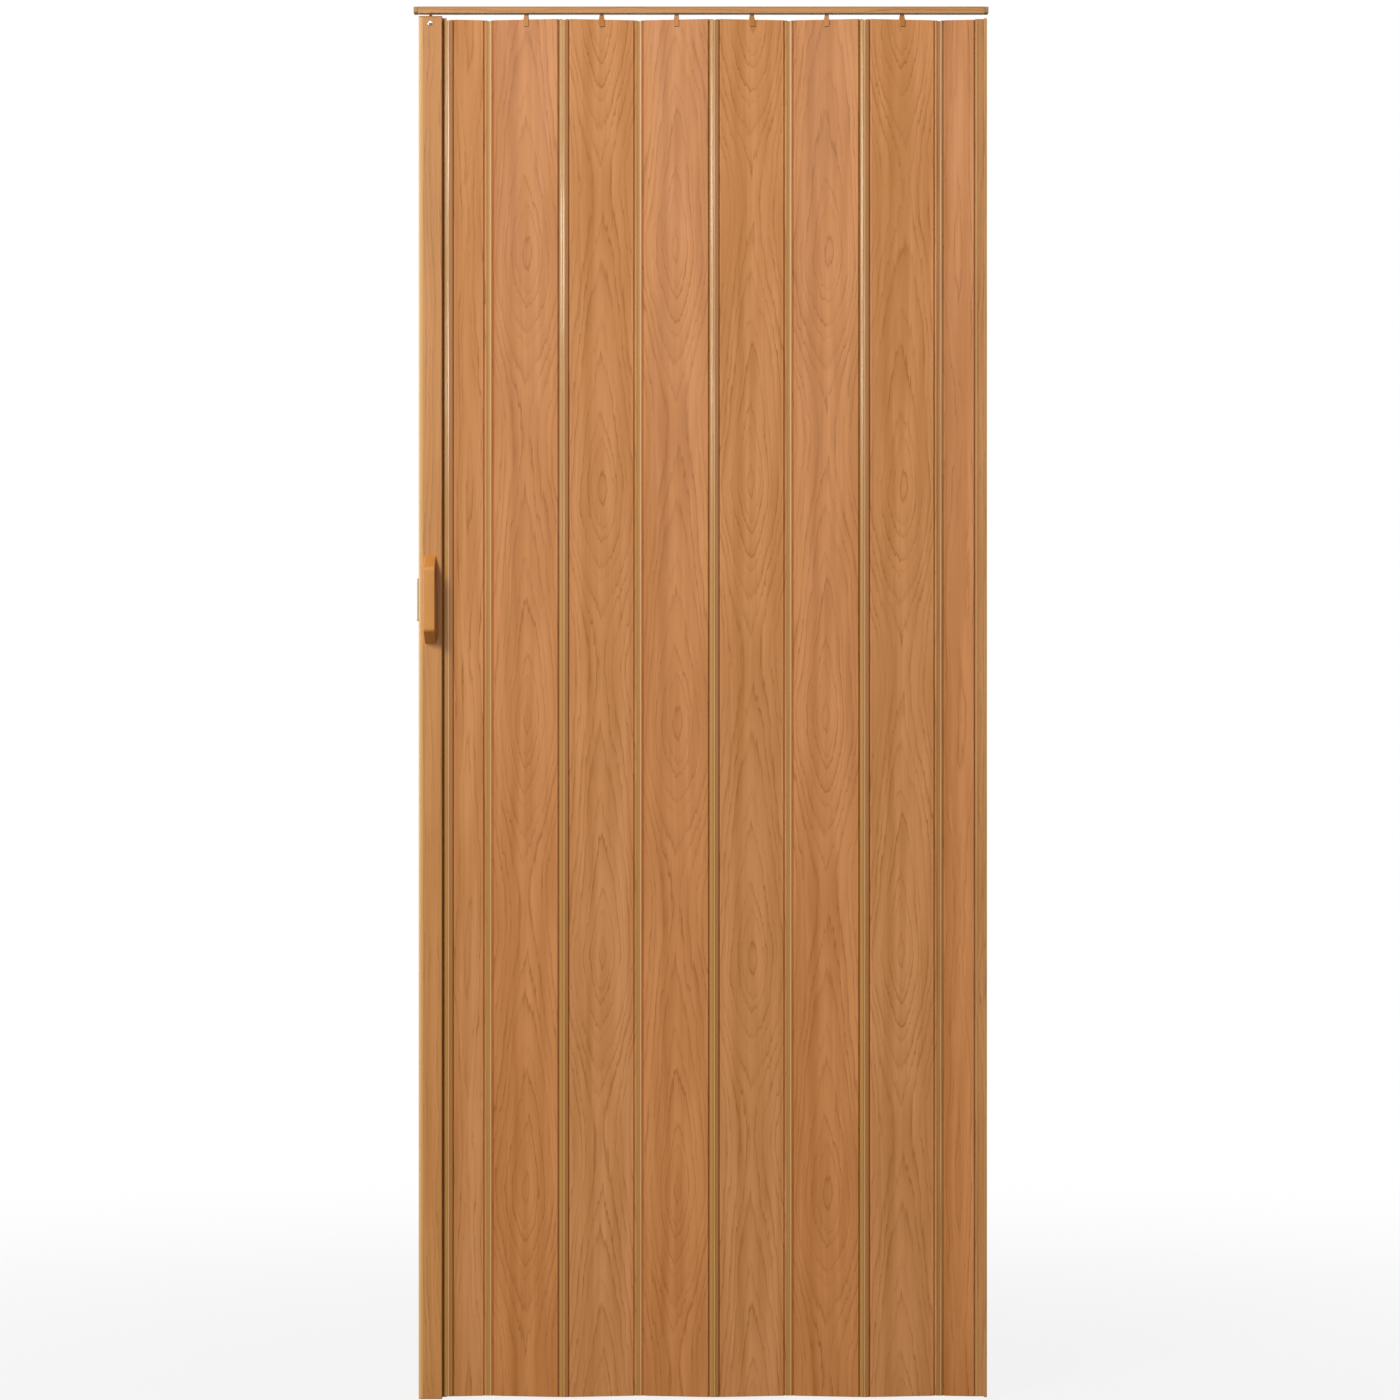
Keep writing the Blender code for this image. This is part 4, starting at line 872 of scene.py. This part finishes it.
def cross_recess(x, y, reach):
    """The depth of a cross recess at a point, as a share: two slots, each as deep as its
    soft-edged width and its tapered length allow, and the deeper of the two where they meet."""
    half_slot = SLOT_HALF * reach
    soft = SLOT_SOFT * reach
    arms = []
    for a, b in ((x, y), (y, x)):
        width = np.clip((half_slot - np.abs(b)) / soft + 0.5, 0, 1)
        length = np.clip((reach - np.abs(a)) / (SLOT_TAPER * reach), 0, 1)
        arms.append(width * length)
    return np.maximum(arms[0], arms[1])


def screw(name, node, axis, shank, head, dome, sink):
    """A screw about its own axis, head up: rings from the middle of the head's top to its rim,
    under the head, and down a shank whose thread swells as a triangle of height less angle. The
    recess is a share of the head's radius, and the point's length a share of the shank's."""
    low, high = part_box(node)
    middle = (low + high) / 2
    length = max(high - low)
    turn = np.linspace(0, math.tau, SCREW_STEPS, endpoint=False)[None, :]
    top_radius = (np.linspace(CROWN_START, 1, CROWN_RINGS) * head)[:, None]
    if dome:
        sphere = (head**2 + dome**2) / (2 * dome)
        top = dome - sphere + np.sqrt(sphere**2 - top_radius**2)
    else:
        top = np.zeros_like(top_radius)
    x = top_radius * np.cos(turn)
    y = top_radius * np.sin(turn)
    recess = cross_recess(x, y, RECESS_REACH * head)
    crown = np.stack([x, y, top - RECESS_DEPTH * head * recess], -1)
    tip = -(length - dome)
    heights = np.linspace(-sink, tip + POINT_LENGTH * shank, THREAD_ROWS)[:, None]
    swell = np.abs(((heights / THREAD_PITCH - turn / math.tau) % 1) - 0.5) * 2
    thread = shank - THREAD_DEPTH * (1 - swell)
    thread[0] = shank
    body = np.stack([thread * np.cos(turn), thread * np.sin(turn), heights + 0 * turn], -1)
    last = np.linspace(1, POINT_TIP, POINT_ROWS)[:, None]
    point_radius = (shank - THREAD_DEPTH) * last
    point_height = tip + POINT_LENGTH * shank * last
    point = np.stack(
        [point_radius * np.cos(turn), point_radius * np.sin(turn), point_height + 0 * turn], -1
    )
    point[:, :, 2] -= point[-1, 0, 2] - tip
    rings = np.concatenate([crown, body, point])
    # The recess's depth also sets where the painted shade in the recess goes.
    shade = np.zeros(rings.shape[:2])
    shade[: len(crown)] = recess
    spin = Vector((0, 0, 1)).rotation_difference(Vector(axis)).to_matrix()
    seat = np.array(middle) + np.array(axis) * (length / 2 - dome)
    return skin(name, rings @ np.array(spin).T + seat, shade)


def plated_steel(name, colour, bright, roughness, streaks):
    """Plated steel: the plate is bright, with fine marks, and painted dark in the recess, as
    painted shade.
    """
    material, tree, shader = new_material(name)
    place = add(tree, "ShaderNodeTexCoord", {})
    marks = add(
        tree, "ShaderNodeTexNoise",
        {"Vector": place.outputs["Object"], "Scale": 1 / PLATE_MARK_SIZE, "Detail": 2.0},
    )
    rough = add(
        tree, "ShaderNodeMapRange",
        {0: marks, 1: 0.3, 2: 0.7, 3: roughness - streaks, 4: roughness + streaks},
    )
    tone = add(tree, "ShaderNodeMixRGB", {0: marks, 1: linear(colour), 2: linear(bright)})
    # The cross recess is painted dark grey by its depth: painted shade.
    recess = add(tree, "ShaderNodeAttribute", {}, attribute_name="across")
    tone = add(
        tree, "ShaderNodeMixRGB",
        {0: recess.outputs["Fac"], 1: tone, 2: linear("#545250")},
    )
    link(tree, shader, {"Base Color": tone, "Roughness": rough, "Metallic": 1.0})
    return material


# Each screw's node, the way its head points, the radius of its shank and of its head, the height
# of its dome, the depth of its countersink, its plate and its slot.
chrome = plated_steel("chromed_steel", "#DEDEDC", "#F4F4F2", roughness=0.12, streaks=0.03)
zinc = plated_steel("zinc_plated_steel", "#A4A5A2", "#C4C5C1", roughness=0.34, streaks=0.08)
SCREWS = [
    ("runner_screw", (0, -1, 0), 0.0017, 0.0040, 0.0024, 0.0, chrome, "chrome_plate"),
    ("handle_upper_screw", (0, 1, 0), 0.0019, 0.0034, 0.0024, 0.0, zinc, "zinc_plate"),
    ("handle_lower_screw", (0, 1, 0), 0.0019, 0.0034, 0.0024, 0.0, zinc, "zinc_plate"),
    ("catch_upper_screw", (-1, 0, 0), 0.0013, 0.0024, 0.0, 0.0009, zinc, "zinc_plate"),
    ("catch_lower_screw", (-1, 0, 0), 0.0013, 0.0024, 0.0, 0.0009, zinc, "zinc_plate"),
]
for node, axis, shank, head, dome, sink, plate, slot in SCREWS:
    piece = screw(f"{node}_turned", node, axis, shank, head, dome, sink)
    fit(piece, "lead_post", node, plate)


# Catch. A small ivory case on the post's nose, with a ferrite bar magnet in its pocket, that
# meets a steel keeper on the frame.
MOULD_GRAIN_SIZE = 0.0008
PIT_SIZE = 0.0005


def ivory_plastic():
    """Ivory polystyrene with a fine mould grain."""
    material, tree, shader = new_material("moulded_ivory_polystyrene")
    place = add(tree, "ShaderNodeTexCoord", {})
    grain = add(
        tree, "ShaderNodeTexNoise",
        {"Vector": place.outputs["Object"], "Scale": 1 / MOULD_GRAIN_SIZE, "Detail": 2.0},
    )
    tone = add(tree, "ShaderNodeMixRGB", {0: grain, 1: linear("#B0A07A"), 2: linear("#BEB08C")})
    bump = add(
        tree, "ShaderNodeBump", {"Height": grain, "Distance": 0.00002, "Strength": 0.4}
    )
    link(tree, shader, {"Base Color": tone, "Roughness": 0.5, "Normal": bump})
    return material


def ferrite():
    """Sintered ferrite: dark grey and matt, with fine pits."""
    material, tree, shader = new_material("sintered_ferrite")
    place = add(tree, "ShaderNodeTexCoord", {})
    pits = add(
        tree, "ShaderNodeTexNoise",
        {"Vector": place.outputs["Object"], "Scale": 1 / PIT_SIZE, "Detail": 3.0},
    )
    tone = add(tree, "ShaderNodeMixRGB", {0: pits, 1: linear("#2E2E30"), 2: linear("#4A4A4C")})
    bump = add(
        tree, "ShaderNodeBump", {"Height": pits, "Distance": 0.00005, "Strength": 0.6}
    )
    link(tree, shader, {"Base Color": tone, "Roughness": 0.7, "Normal": bump})
    return material


case = whole_copy("catch_case_moulding", "catch_case", MOULDED_ROUND)
fit(case, "lead_post", "catch_case", ivory_plastic())
bar = whole_copy("magnet_bar", "catch_magnet", MOULDED_ROUND)
fit(bar, "lead_post", "catch_magnet", ferrite())
